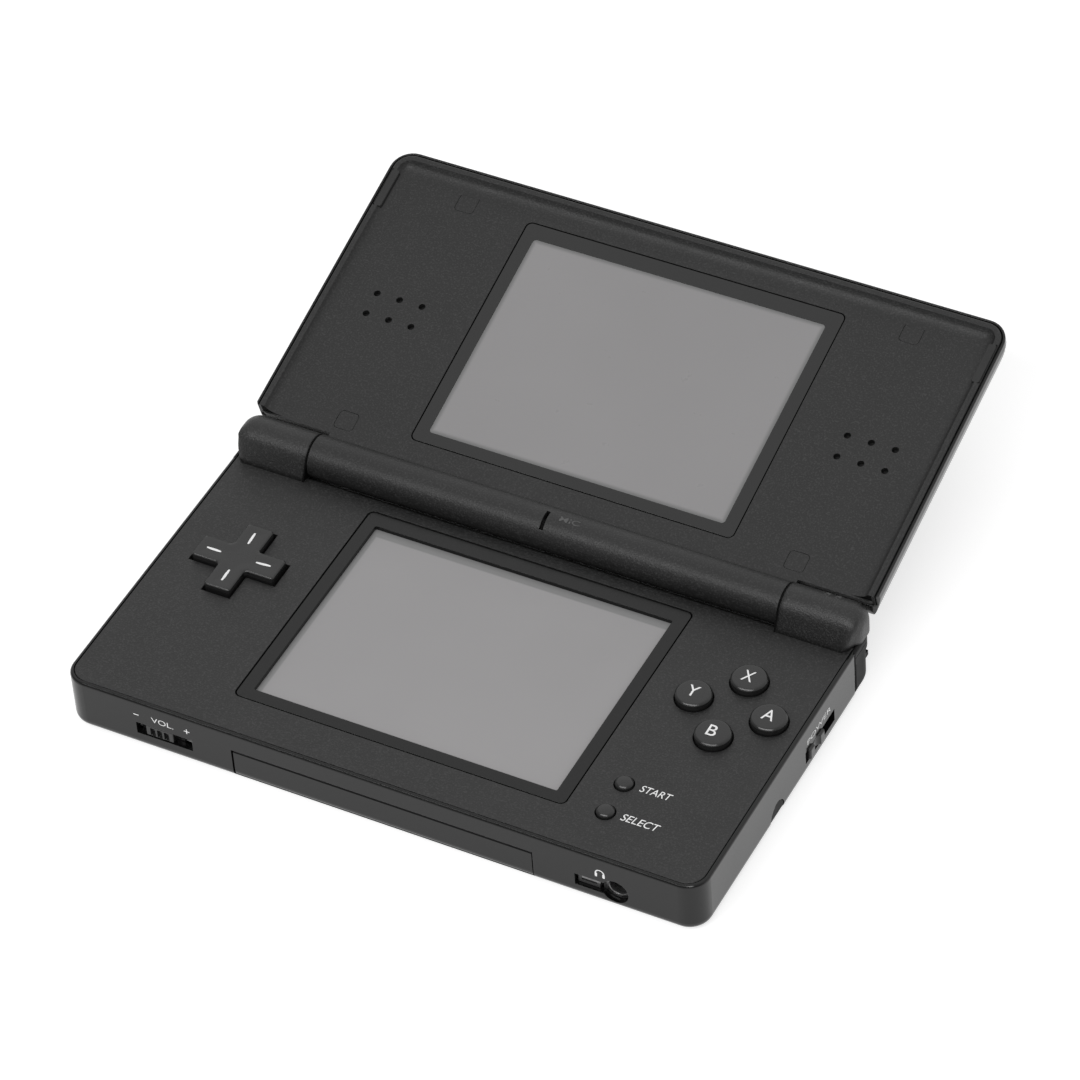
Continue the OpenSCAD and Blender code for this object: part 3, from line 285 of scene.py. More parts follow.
# finishes of single pieces
UPPER_DISPLAY = display("upper_display_face", (140, 114), UP_SCREEN_ALONG, LID_TILT, 0.3)
WINDOW_BORDER = plastic("window_border", 22, 0.22, tone=0.02, gloss=0.44, wear=6)
SHOULDER_BLACK = plastic("shoulder_black", 12, 0.56, grain=0.3, gloss=0.16)
SHELL_BLACK = plastic("shell_black", 12, 0.15, gloss=0.35, wear=12, ease=0.5, **GLOSSY)
DARK_METAL = metal("dark_metal", 118, 0.3)
# darker grey than the matte plate the knuckles are moulded with: painted shade of the knuckles and their
# flanks
SHADED_KNUCKLE_BLACK = plastic("shaded_knuckle_black", 18, 0.42, grain=1.5, grain_size=0.36, gloss=0.46, ease=1.8)
BEZEL_BLACK = plastic("bezel_black", 14, 0.16, gloss=0.3, wear=10, **GLOSSY)
# black for strips and slabs set into narrow gaps: painted shadow of those gaps
GAP_SHADOW_BLACK = plastic("gap_shadow_black", 6, 0.8, gloss=0.1, wear=2)
WHITE_PAINT = paint("white_paint", 240, 0.4)
GREY_PAINT = paint("grey_paint", 78, 0.45)


for entry in frame["record"]["subparts"]:
    node = frame["nodes"][entry["node"]]
    node.data.materials.clear()
    node.data.materials.append(MATERIALS[entry["material_slot"]])
for name in ("shoulder_button_left", "shoulder_button_right", "stylus"):
    frame["nodes"][name].data.materials[0] = SHOULDER_BLACK
frame["nodes"]["lid_shell"].data.materials[0] = SHELL_BLACK
for obj in frame["nodes"].values():
    obj.data.shade_smooth()
    obj.data.set_sharp_from_angle(angle=math.radians(30))


# shapes

LID = Matrix.Translation((0, AXIS_Y, AXIS_Z)) @ Matrix.Rotation(LID_TILT, 4, "X")


class Shape:
    """Vertices and faces in millimetres, gathered until they become one object."""

    def __init__(self):
        self.points = []
        self.faces = []

    def loft(self, rings, closed=False, caps=True):
        """Skin over rings that have equally many points; closed joins the last ring to the first."""
        start, count = len(self.points), len(rings[0])
        for ring in rings:
            self.points += [tuple(p) for p in ring]
        last = len(rings) if closed else len(rings) - 1
        for i in range(last):
            near, far = start + i * count, start + (i + 1) % len(rings) * count
            for j in range(count):
                k = (j + 1) % count
                self.faces.append((near + j, near + k, far + k, far + j))
        if caps and not closed:
            self.faces.append(tuple(start + j for j in reversed(range(count))))
            self.faces.append(tuple(start + (len(rings) - 1) * count + j for j in range(count)))
        return self

    def sheet(self, rows):
        """Open skin over rows of points."""
        start, count = len(self.points), len(rows[0])
        for row in rows:
            self.points += [tuple(p) for p in row]
        for i in range(len(rows) - 1):
            for j in range(count - 1):
                a = start + i * count + j
                self.faces.append((a, a + 1, a + count + 1, a + count))
        return self

    def make(self, name, slot, body, replaced=(), material=None, turn=None, sharp=32):
        mesh = bpy.data.meshes.new(name)
        mesh.from_pydata([Vector(p) * MM for p in self.points], [], self.faces)
        return finish_piece(name, mesh, slot, body, replaced, material, turn, sharp)


def finish_piece(name, mesh, slot, body, replaced=(), material=None, turn=None, sharp=32):
    """Object of a mesh in metres; turn is a placement in millimetres."""
    if turn:
        place = turn.copy()
        place.translation *= MM
        mesh.transform(place)
    work = bmesh.new()
    work.from_mesh(mesh)
    bmesh.ops.remove_doubles(work, verts=work.verts, dist=0.0005 * MM)
    bmesh.ops.recalc_face_normals(work, faces=work.faces)
    work.to_mesh(mesh)
    work.free()
    piece = bpy.data.objects.new(name, mesh)
    bpy.context.scene.collection.objects.link(piece)
    mesh.materials.append(material or MATERIALS[slot])
    mesh.shade_smooth()
    mesh.set_sharp_from_angle(angle=math.radians(sharp))
    weigh = piece.modifiers.new("even_normals", "WEIGHTED_NORMAL")
    weigh.keep_sharp = True
    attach(piece, body)
    if replaced:
        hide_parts(*replaced)
    return piece


def circle(centre, radius, z, count=64):
    turns = [2 * math.pi * k / count for k in range(count)]
    return [(centre[0] + radius * math.cos(t), centre[1] + radius * math.sin(t), z) for t in turns]


def quarter(radius, steps=6):
    """Points (inset, drop) of a rounded edge, from the side wall to the top face."""
    turns = [math.pi / 2 * k / steps for k in range(steps + 1)]
    return [(radius * (1 - math.cos(t)), radius * (1 - math.sin(t))) for t in turns]


def chamfer(width):
    """Points (inset, drop) of a flat chamfer with softened ends, like those of quarter()."""
    return [(0, width), (0.1 * width, 0.82 * width), (0.82 * width, 0.1 * width), (width, 0)]


def moved_in(corners, inset):
    """Corners of an outline moved inward; the outline runs counterclockwise."""
    moved = []
    for i, corner in enumerate(corners):
        before = (corner - corners[i - 1]).normalized()
        after = (corners[(i + 1) % len(corners)] - corner).normalized()
        n0, n1 = Vector((-before.y, before.x)), Vector((-after.y, after.x))
        moved.append(corner + (n0 + n1) / (1 + n0.dot(n1)) * inset)
    return moved


def outline(corners, radius, inset=0.0, hollow=0.8, z=0.0, steps=6):
    """Outline with rounded corners: radius outside, hollow at inner corners."""
    moved = moved_in(corners, inset)
    ring = []
    for i, corner in enumerate(moved):
        back, on = moved[i - 1] - corner, moved[(i + 1) % len(moved)] - corner
        outer = -back.x * on.y + back.y * on.x > 0
        r = max(radius - inset, 0.03) if outer else hollow + inset
        back.normalize()
        on.normalize()
        half = back.angle(on) / 2
        middle = corner + (back + on).normalized() * r / math.sin(half)
        first = corner + back * r / math.tan(half) - middle
        final = corner + on * r / math.tan(half) - middle
        for k in range(steps + 1):
            spot = middle + first.lerp(final, k / steps).normalized() * r
            ring.append((spot.x, spot.y, z))
    return ring


def box_corners(centre, half):
    x, y = half
    spots = ((x, -y), (x, y), (-x, y), (-x, -y))
    return [Vector((centre[0] + dx, centre[1] + dy)) for dx, dy in spots]


# direction pad

def make_pad():
    arm, reach = PAD_ARM, PAD_REACH
    spots = ((reach, -arm), (reach, arm), (arm, arm), (arm, reach), (-arm, reach), (-arm, arm))
    corners = [PAD + Vector(p) for p in spots] + [PAD - Vector(p) for p in spots]
    tight, wide, above_plate = 0.3, 0.75, BASE_TOP + 0.3
    levels = [(0.0, 9.6), (0.0, above_plate - 0.1), (0.0, above_plate + 0.1), (0.02, PAD_TOP - 0.3)]
    levels += [(0.02 + i, PAD_TOP - d) for i, d in chamfer(0.28)[1:]]
    dished = ((0.9, 0.005), (1.5, 0.03), (2.1, 0.06), (2.5, 0.07))
    levels += [(inset, PAD_TOP - drop) for inset, drop in dished]
    # the inner corners are tighter inside the hole of the plate, so that the pad can rock there
    rings = [outline(corners, 0.6, inset, wide if z > above_plate else tight, z) for inset, z in levels]
    shape = Shape().loft(rings)
    flange, flange_z = 9.6, (9.2, 9.85)
    shape.loft([circle(PAD, flange, z) for z in flange_z])
    shape.make("d_pad_body", "control_black", "d_pad", ["d_pad"])
    length, width = 1.62, 0.28
    bar = [(length, -width * 0.5), (length * 0.93, width * 0.7)]
    bar += [(length * 0.3, width), (-length * 0.5, width * 0.8)]
    bar += [(-x, -y) for x, y in bar]
    marks = {
        "rear": (-0.2, 5.4, 92),
        "right": (5.3, 0.15, 3),
        "front": (0.1, -5.3, 90),
        "left": (-5.35, -0.1, -2),
    }
    for name, (dx, dy, turn) in marks.items():
        spin = Matrix.Rotation(math.radians(turn), 2)
        corners = [PAD + Vector((dx, dy)) + spin @ Vector(p) for p in bar]
        rings = [outline(corners, 0.12, inset, 0.1, PAD_TOP - drop, 3)
                 for inset, drop in ((0, 0.12), (0, 0.05), (0.03, 0.035))]
        Shape().loft(rings).make("pad_mark_" + name, "switch_white", "d_pad", material=WHITE_PAINT)


# round buttons

def button_shape(centre, radius, top, edge, crown):
    """Turned button over a flange; edge is its chamfer and crown the rise of its middle."""
    flange, low, high = radius + 0.8, 9.62, 10.5
    levels = [(flange, low), (flange, high), (radius, high), (radius, top - edge - crown)]
    levels += [(radius - i, top - crown - d) for i, d in chamfer(edge)[1:]]
    flat = radius - edge
    levels += [(flat * f, top - crown * f * f) for f in (0.92, 0.8, 0.6, 0.4, 0.2)]
    return Shape().loft([circle(centre, r, z, 72) for r, z in levels])


def make_buttons():
    for name, centre in BUTTONS.items():
        shape = button_shape(centre, BUTTON_R, BUTTON_TOP, 0.42, 0.06)
        shape.make("button_%s_body" % name, "control_black", "button_" + name, ["button_" + name])
    for name, y in SMALL_BUTTONS.items():
        shape = button_shape((SMALL_X, y), SMALL_R, SMALL_TOP, 0.45, 0.12)
        shape.make(name + "_button_body", "control_black", name + "_button", [name + "_button"])


# sliders: blocks whose outer face follows a height function

def relief_block(u_range, v_range, height, back, place, counts, edge):
    """Skin over a grid of (u, v); the rim is rounded and walls run back to one level."""
    def along(ends, count):
        return [ends[0] + (ends[1] - ends[0]) * k / count for k in range(count + 1)]

    us, vs = along(u_range, counts[0]), along(v_range, counts[1])

    def drop(value, ends):
        gap = min(value - ends[0], ends[1] - value)
        return 0 if gap >= edge else edge - math.sqrt(max(edge ** 2 - (edge - gap) ** 2, 0))

    def face(u, v):
        return place(u, v, height(u, v) - drop(u, u_range) - drop(v, v_range))

    shape = Shape().sheet([[face(u, v) for u in us] for v in vs])
    rim = [(u, vs[0]) for u in us] + [(us[-1], v) for v in vs[1:]]
    rim += [(u, vs[-1]) for u in reversed(us[:-1])] + [(us[0], v) for v in reversed(vs[1:-1])]
    shape.loft([[face(u, v) for u, v in rim], [place(u, v, back) for u, v in rim]], caps=False)
    shape.faces.append(tuple(range(len(shape.points) - len(rim), len(shape.points))))
    return shape


def scoop(offset, half, depth):
    """Depth of a round-bottomed groove at a distance from its middle."""
    return depth * math.sqrt(max(1 - (offset / half) ** 2, 0))


def make_volume_slider():
    """Knob with three upright grooves in its lower part, on a plate behind the slot."""
    x0, x1, z0, z1 = -48.95, -43.05, 3.75, 6.3

    def height(x, z):
        fade = min(max((z0 + 2.1 - z) / 0.3, 0), 1) * min(max((z - z0 - 0.05) / 0.2, 0), 1)
        cut = max(scoop(x - x0 - (x1 - x0) * f, 0.5, 0.8) for f in (0.25, 0.5, 0.75))
        return -cut * fade

    def place(x, z, out):
        return (x, FRONT + 0.14 - out, z)

    shape = relief_block((x0, x1), (z0, z1), height, -1.4, place, (96, 40), 0.22)
    back = box_corners(((x0 + x1) / 2, (z0 + z1) / 2 - 0.15), ((x1 - x0) / 2 + 1.6, 2.1))
    rings = [[(x, y, z) for x, z, _ in outline(back, 0.4)] for y in (FRONT + 1.5, FRONT + 2.2)]
    shape.loft(rings)
    shape.make("volume_slider_knob", "control_black", "volume_slider", ["volume_slider"])


def make_power_slider():
    """Knob with one wide hollow for the finger, on a plate behind the slot."""
    y0, y1, z0, z1 = 7.9, 13.9, 3.2, 5.8

    def height(y, z):
        return -scoop(y - (y0 + y1) / 2, 1.3, 0.75)

    def place(y, z, out):
        return (SIDE + 0.55 + out, y, z)

    shape = relief_block((y0, y1), (z0, z1), height, -2.1, place, (80, 20), 0.3)
    back = box_corners(((y0 + y1) / 2 + 2.2, 4.5), ((y1 - y0) / 2 + 3.2, 1.9))
    rings = [[(x, y, z) for y, z, _ in outline(back, 0.4)] for x in (SIDE - 2.2, SIDE - 1.5)]
    shape.loft(rings)
    shape.make("power_slider_knob", "control_black", "power_slider", ["power_slider"])


# screens

def ring_piece(outer, outer_r, inner, inner_r, z0, z1, edge, step):
    """Frame with eased outer and inner upper edges; outer and inner are corner lists."""
    rings = [outline(outer, outer_r, 0, z=z0), outline(outer, outer_r, 0, z=z1 - edge)]
    rings += [outline(outer, outer_r, i, z=z1 - d) for i, d in quarter(edge, 3)[1:]]
    rings += [outline(inner, inner_r, -i, z=z1 - d) for i, d in reversed(quarter(step, 4))]
    rings += [outline(inner, inner_r, 0, z=z0)]
    return Shape().loft(rings, closed=True)


def make_screens():
    outer = box_corners((0, LOW_FRAME_Y), (FRAME_HALF[0] - 0.3, FRAME_HALF[1] - 0.3))
    inner = box_corners((0, LOW_SCREEN_Y), SCREEN)
    shape = ring_piece(outer, 1.1, inner, 0.25, 11.03, 11.92, 0.06, 0.08)
    shape.make("lower_bezel_ring", "window_dark", "base", ["lower_bezel"], BEZEL_BLACK)

    panel_half = (33.6, 26.2)
    panel = box_corners((0, LOW_SCREEN_Y), panel_half)
    rings = [outline(panel, 0.4, 0, z=10.55), outline(panel, 0.4, 0, z=TOUCH_TOP - 0.05)]
    rings += [outline(panel, 0.4, 0.05, z=TOUCH_TOP)]
    Shape().loft(rings).make("touch_panel_face", "display_grey", "base", ["touch_panel"])

    outer = box_corners((0, UP_FRAME_Y), (FRAME_HALF[0] - 0.24, FRAME_HALF[1] - 0.24))
    inner = box_corners((0, UP_SCREEN_Y), SCREEN)
    shape = ring_piece(outer, 1.16, inner, 0.7, -0.95, 0.1, 0.06, 0.04)
    shape.make("upper_window_border", "window_dark", "lid", ["upper_window"], WINDOW_BORDER, LID)
    pane = box_corners((0, UP_SCREEN_Y), (SCREEN[0] + 0.3, SCREEN[1] + 0.3))
    rings = [outline(pane, 0.9, 0, z=-0.9), outline(pane, 0.9, 0, z=0.03)]
    Shape().loft(rings).make("upper_display_pane", "display_grey", "lid", (), UPPER_DISPLAY, LID)


# lid lip and bumpers

def lip_path(inset, height, radius):
    """Path along the left side, the far side and the right side of the lid, at one inset."""
    x, far = LIP_X - inset, LIP_FAR - inset
    points = [(x, LIP_START + (far - radius - LIP_START) * k / 12) for k in range(12)]
    turns = [math.pi / 2 * k / 10 for k in range(11)]
    points += [(x - radius + radius * math.cos(t), far - radius + radius * math.sin(t)) for t in turns]
    run = [(x - radius) * (1 - k / 12) for k in range(1, 13)]
    points += [(dx, far) for dx in run]
    points += [(-dx, dy) for dx, dy in reversed(points[:-1])]
    return [(px, py, height) for px, py in points]


def make_lip():
    """Skin of the raised lip: flat rim, small step, and a slope down to the face of the lid."""
    skin, corner, least = 0.008, 3.8, 1.3
    flat = [(0.62, -0.02), (0.7, 0.0), (0.86, 0.005), (1.16, 0.01)]
    step = [(1.24, 0.035), (1.3, 0.14), (1.5, 0.38), (1.75, 0.7)]
    slope = [(2.05, 0.95), (2.4, 1.18), (2.8, 1.37), (3.2, 1.51), (3.6, 1.62), (4.0, 1.69)]
    foot = [(4.4, 1.73), (4.75, 1.745)]
    rows = []
    for inset, drop in flat + step + slope + foot:
        rows.append(lip_path(inset, LIP_TOP - drop + skin, max(corner - inset, least)))
    shape = Shape().sheet(rows)
    sunk = LID_FACE - 0.3
    under = [(x, y, sunk) for x, y, _ in rows[-1]]
    inner = [(x, y, sunk) for x, y, _ in rows[0]]
    shape.sheet([rows[-1], under])
    shape.sheet([under, inner])
    shape.sheet([inner, rows[0]])
    # thin black slabs just in front of both ends of the lip: painted shadow of the gap at the lid's front
    # edge
    ends = Shape()
    for pick in (0, -1):
        section = [row[pick] for row in rows] + [under[pick], inner[pick]]
        start = len(shape.points)
        shape.points += section
        shape.faces.append(tuple(range(start, len(shape.points))))
        ends.loft([[(x, y - out, z) for x, y, z in section] for out in (0.0, 0.06)])
    shape.make("lid_lip_slope", "matte_black", "lid", turn=LID, sharp=40)
    ends.make("lid_lip_end_shadows", "matte_black", "lid", (), GAP_SHADOW_BLACK, LID)


def make_bumpers():
    x0, x1, y0, y1 = 63.9, 65.6, 56.25, 65.35
    top, foot = LIP_TOP + 0.06, LID_FACE + 0.3
    shape = Shape()
    for side in (-1, 1):
        corners = box_corners((side * (x0 + x1) / 2, (y0 + y1) / 2), ((x1 - x0) / 2, (y1 - y0) / 2))
        levels = [(0, foot)] + [(i, top - d) for i, d in quarter(0.22)]
        shape.loft([outline(corners, 0.45, i, z=z) for i, z in levels])
    shape.make("lid_bumper_pads", "soft_rubber", "lid", ["lid_bumpers"], turn=LID)


# hinge knuckles: rounded ends and a steep flank that runs down to the plate

# x of the inner end, of the start of the domed outer end and of its tip
KNUCKLE_START, KNUCKLE_DOME, KNUCKLE_END = 50.38, 63.25, 66.5
KNUCKLE_R, TIP_R = BARREL_R + 0.02, 1.12
# y and z where the flank meets the plate
FLANK_FOOT, FOOT_Z = 27.42, 11.97
# x where the foot begins to bend round the outer corner, and where the flank ends
FLANK_BEND, FLANK_END = 62.75, 65.58
# the corner's radius, and how far its centre lies behind the foot
BEND_R, BEND_BACK = 2.84, 2.71
# turn about the axis, in radians, over which the dome's radius becomes the flank's
BLEND_FROM, BLEND_SPAN = 1.65, 0.95


def knuckle_radius(x):
    """Radius of the knuckle at x; its outer end is a dome with a small flat tip."""
    off = max(x - KNUCKLE_DOME, 0) / (KNUCKLE_END - KNUCKLE_DOME)
    return TIP_R + (KNUCKLE_R - TIP_R) * math.sqrt(max(1 - off * off, 0))


def flank_radius(x):
    """Radius toward the flank, which stays full for longer than the dome does."""
    slimming, rounding = 0.24, 0.55
    share = max(min(x, FLANK_END) - KNUCKLE_DOME, 0) / (FLANK_END - KNUCKLE_DOME)
    full = KNUCKLE_R - slimming * share ** 2
    if x > FLANK_END:
        past = min((x - FLANK_END) / rounding, 1)
        full -= (full - knuckle_radius(x)) * (1 - math.sqrt(1 - past * past))
    return max(full, knuckle_radius(x))


def knuckle_wall(x):
    """Front of the foot at x: straight, then round the outer corner, then round the dome."""
    off = min(max(x - FLANK_BEND, 0), FLANK_END - FLANK_BEND)
    wall = max(FLANK_FOOT, FLANK_FOOT + BEND_BACK - math.sqrt(BEND_R * BEND_R - off * off))
    return max(wall, AXIS_Y - knuckle_radius(x)) if x > FLANK_END else wall


def knuckle_ring(side, x):
    """Section of a knuckle: arc over the axis, flank, upright wall and flat underside."""
    radius, reach, wall = knuckle_radius(x), flank_radius(x), knuckle_wall(x)
    run, rise = AXIS_Y - FLANK_FOOT, AXIS_Z - FOOT_Z
    touch = math.atan2(rise, run) + math.asin(KNUCKLE_R / math.hypot(run, rise)) + math.pi / 2

    def spot(turn):
        blend = min(max((turn - BLEND_FROM) / BLEND_SPAN, 0), 1)
        r = radius + (reach - radius) * blend * blend * (3 - 2 * blend)
        return AXIS_Y + min(r * math.cos(turn), BARREL_R), AXIS_Z + r * math.sin(turn)

    least, step = 1.7, 0.01
    while spot(touch)[0] < wall and touch > least:
        touch -= step
    ring = [spot(touch * k / 36) for k in range(37)]
    y, z = ring[-1]
    share = min(max((wall - FLANK_FOOT) / (y - FLANK_FOOT), 0), 1)
    low_y, low_z = FLANK_FOOT + (y - FLANK_FOOT) * share, FOOT_Z + (z - FOOT_Z) * share
    ring += [(y + (low_y - y) * k / 8, z + (low_z - z) * k / 8) for k in range(1, 9)]
    sunk, rear = FOOT_Z - 0.3, AXIS_Y + min(radius, BARREL_R)
    ring += [(low_y, low_z + (sunk - low_z) * k / 6) for k in range(1, 7)]
    ring += [(low_y + (rear - low_y) * k / 4, sunk) for k in range(1, 5)]
    return [(side * x, y, z) for y, z in ring]


def swollen(ring, factor):
    """Section of a knuckle enlarged about the hinge axis."""
    return [(x, AXIS_Y + (y - AXIS_Y) * factor, AXIS_Z + (z - AXIS_Z) * factor) for x, y, z in ring]


def make_knuckles():
    """Both knuckles, each with a black band where it meets the barrel, which is painted shadow of the gap
    there.
    """
    proud, gap_shadow_ends = 1.007, (KNUCKLE_START - 0.1, KNUCKLE_START + 0.2)
    stations = [KNUCKLE_START + (KNUCKLE_DOME - KNUCKLE_START) * k / 26 for k in range(27)]
    reach = KNUCKLE_END - KNUCKLE_DOME
    stations += [KNUCKLE_DOME + reach * math.sin(math.pi / 2 * k / 24) for k in range(1, 25)]
    for name, side in (("left", -1), ("right", 1)):
        rings = [knuckle_ring(side, x) for x in stations]
        Shape().loft(rings).make("knuckle_" + name, "matte_black", "base", (), SHADED_KNUCKLE_BLACK, sharp=60)
        # black band over the gap to the barrel: painted shadow of the gap
        gap_shadow = [swollen(knuckle_ring(side, x), proud) for x in gap_shadow_ends]
        Shape().loft(gap_shadow).make("knuckle_gap_shadow_" + name, "matte_black", "base", (), GAP_SHADOW_BLACK)


# dark rear corners of the case, above the shoulder buttons

def corner_path(inset):
    """Plan of a rear corner of the case, from a start on the side to a finish on the rear face."""
    start, finish, bend = 28.6, 52.75, 4.5
    x, y, r = SIDE - bend, REAR - bend, bend - inset
    turns = [math.pi / 2 * k / 12 for k in range(13)]
    lead = [(SIDE - inset, start + (y - start) * k / 4) for k in range(4)]
    arc = [(x + r * math.cos(t), y + r * math.sin(t)) for t in turns]
    tail = [(x + (finish - x) * k / 8, REAR - inset) for k in range(1, 9)]
    return lead + arc + tail


def make_corner_bands():
    """Bands with a groove along them. Before each is a black strip that is painted shadow of the seam's
    gap, and on the shoulder button's front edge is a black strip that is painted shadow of its gap.
    """
    foot, edge, proud, groove = 8.78, 0.65, 0.06, 10.4
    profile = [(-proud, foot), (-proud, groove - 0.1), (0.1, groove), (-proud, groove + 0.1)]
    profile += [(-proud, BASE_TOP - edge)]
    for k in range(1, 7):
        turn = math.pi / 2 * k / 6
        rise = (edge + 0.02) * math.sin(turn)
        profile.append((edge - (edge + proud) * math.cos(turn), BASE_TOP - edge + rise))
    profile += [(0.69, BASE_TOP - 0.1), (0.69, foot)]
    section = [(0, foot), (0, BASE_TOP - 0.6), (0.2, BASE_TOP - 0.15)]
    section += [(0.6, BASE_TOP + 0.01), (0.6, foot)]
    gap_shadow_ends, button_z = (28.18, 28.65), (1.3, 8.48)
    for name, side in (("left", -1), ("right", 1)):
        columns = [[(side * x, y, z) for x, y in corner_path(inset)] for inset, z in profile]
        rings = [list(ring) for ring in zip(*columns)]
        Shape().loft(rings).make("corner_band_" + name, "control_black", "base", (), SHOULDER_BLACK)
        # black strip before the band: painted shadow of the seam's gap
        gap_shadow = [[(side * (SIDE + 0.02 - inset), y, z) for inset, z in section] for y in gap_shadow_ends]
        Shape().loft(gap_shadow).make("corner_gap_shadow_" + name, "control_black", "base", (), GAP_SHADOW_BLACK)
        # black strip on the button's front edge: painted shadow of the gap to the case
        gap = box_corners((side * (SIDE - 0.32), 29.12), (0.08, 0.41))
        rings = [outline(gap, 0.03, z=z, steps=2) for z in button_z]
        button = "shoulder_button_" + name
        Shape().loft(rings).make("shoulder_gap_shadow_" + name, "control_black", button, (), GAP_SHADOW_BLACK)


def make_lenses():
    """Two smoked bars wrapped over the right knuckle."""
    places, half = (57.9, 60.1), (0.5, 2.9)
    shape = Shape()
    for x in places:
        bar = box_corners((x, 0.5), half)
        rings = []
        for inset, out in ((0, 0.0), (0, 0.045), (0.08, 0.06)):
            radius, ring = BARREL_R + out, []
            for px, py, _ in outline(bar, 0.4, inset):
                turn = py / radius
                ring.append((px, AXIS_Y + radius * math.sin(turn), AXIS_Z + radius * math.cos(turn)))
            rings.append(along_arc(ring))
        shape.loft(rings)
    shape.make("indicator_bars", "lens_smoke", "base", ["indicator_lenses"])


def along_arc(ring):
    """Ring with extra points on its long straight sides, so that it follows the barrel."""
    dense = []
    for i, (x, y, z) in enumerate(ring):
        nx, ny, nz = ring[(i + 1) % len(ring)]
        dense.append((x, y, z))
        if math.hypot(ny - y, nz - z) < 1:
            continue
        here, there = math.atan2(y - AXIS_Y, z - AXIS_Z), math.atan2(ny - AXIS_Y, nz - AXIS_Z)
        reach = math.hypot(y - AXIS_Y, z - AXIS_Z)
        for k in range(1, 12):
            turn = here + (there - here) * k / 12
            dense.append((x, AXIS_Y + reach * math.sin(turn), AXIS_Z + reach * math.cos(turn)))
    return dense


# metal parts inside the front ports

def make_ports():
    """Sleeve of the headphone jack, as (radius, depth) behind the mouth, and the headset's tongue."""
    middle, y0 = (49.2, 4.4), FRONT + 1.35
    outside = [(2.5, 0.5), (2.5, 0.06), (2.44, 0)]
    bore = [(1.96, 0), (1.83, 0.12), (1.8, 0.4), (1.8, 4), (2.5, 4)]
    rings = [[(x, y0 + y, z) for x, z, _ in circle(middle, radius, 0, 48)] for radius, y in outside + bore]
    Shape().loft(rings, closed=True).make("jack_sleeve", "connector_black", "base", (), DARK_METAL)
    tongue = box_corners((44.0, 4.85), (1.95, 0.42))
    rings = [[(x, FRONT + y, z) for x, z, _ in outline(tongue, 0.15, inset)]
             for inset, y in ((0, 3.5), (0, 0.75), (0.1, 0.65))]
    Shape().loft(rings).make("headset_tongue", "connector_black", "base", (), DARK_METAL)


# lettering

def lettering(name, text, centre, size, body, turn, material=None, shear=0.0, bold=0.05, bend=0.0):
    """Raised print that fits a box of size (width, height), centred at a point of the plane turn.

    bold thickens the strokes, and bend rolls the print round a barrel of that radius.
    """
    data = bpy.data.curves.new(name, "FONT")
    data.body = text
    data.shear = shear
    data.offset = bold * 0.3
    data.extrude = 0.02
    source = bpy.data.objects.new(name, data)
    bpy.context.scene.collection.objects.link(source)
    bpy.context.view_layer.update()
    solid = source.evaluated_get(bpy.context.evaluated_depsgraph_get())
    mesh = bpy.data.meshes.new_from_object(solid)
    bpy.data.objects.remove(source)
    spots = [v.co for v in mesh.vertices]
    low = Vector(min(p[i] for p in spots) for i in range(2))
    high = Vector(max(p[i] for p in spots) for i in range(2))
    middle, span = (low + high) / 2, high - low
    for vertex in mesh.vertices:
        x = (vertex.co.x - middle.x) / span.x * size[0] + centre[0]
        y = (vertex.co.y - middle.y) / span.y * size[1] + centre[1]
        z = vertex.co.z * 0.5
        if bend:
            y, z = (bend + z) * math.sin(y / bend), (bend + z) * math.cos(y / bend) - bend
        vertex.co = Vector((x, y, z)) * MM
    finish_piece(name, mesh, "switch_white", body, (), material or WHITE_PAINT, turn)


def plane(origin, right, up):
    """Placement whose x axis runs right and y axis runs up."""
    right, up = Vector(right), Vector(up)
    turn = Matrix((right, up, right.cross(up))).transposed().to_4x4()
    turn.translation = Vector(origin)
    return turn


def make_lettering():
    flat = plane((0, 0, BUTTON_TOP + 0.002), (1, 0, 0), (0, 1, 0))
    letters = {
        "X": (51.7, 13.8, 2.15),
        "Y": (44.0, 6.2, 2.2),
        "A": (59.5, 6.3, 2.35),
        "B": (51.7, -1.5, 1.85),
    }
    for letter, (x, y, width) in letters.items():
        low = letter.lower()
        lettering("letter_" + low, letter, (x, y), (width, 2.7), "button_" + low, flat, bold=0.0)
    plate = plane((0, 0, BASE_TOP), (1, 0, 0), (0, 1, 0))
    lettering("word_start", "START", (48.6, -18.6), (6.3, 1.65), "base", plate, shear=0.2, bold=0.0)
    lettering("word_select", "SELECT", (49.25, -26.35), (7.6, 1.7), "base", plate, shear=0.2, bold=0.0)
    front = plane((0, FRONT, 0), (1, 0, 0), (0, 0, 1))
    lettering("word_volume", "VOL.", (-45.0, 8.45), (4.7, 1.3), "base", front, bold=-0.02)
    lettering("volume_less", "-", (-50.65, 8.5), (1.1, 0.24), "base", front)
    lettering("volume_more", "+", (-39.75, 8.45), (1.2, 1.2), "base", front, bold=0)
    side = plane((SIDE, 0, 0), (0, 1, 0), (0, 0, 1))
    lettering("word_power", "POWER", (12.65, 7.75), (10.0, 1.2), "base", side, bold=-0.02)
    barrel = plane((0, AXIS_Y, AXIS_Z + BARREL_R + 0.02), (1, 0, 0), (0, 1, 0))
    size = (4.2, 1.2)
    lettering("word_mic", "MIC", (5.2, -0.45), size, "lid", barrel, GREY_PAINT, bold=0.02, bend=BARREL_R)
    make_headphone_sign(front)


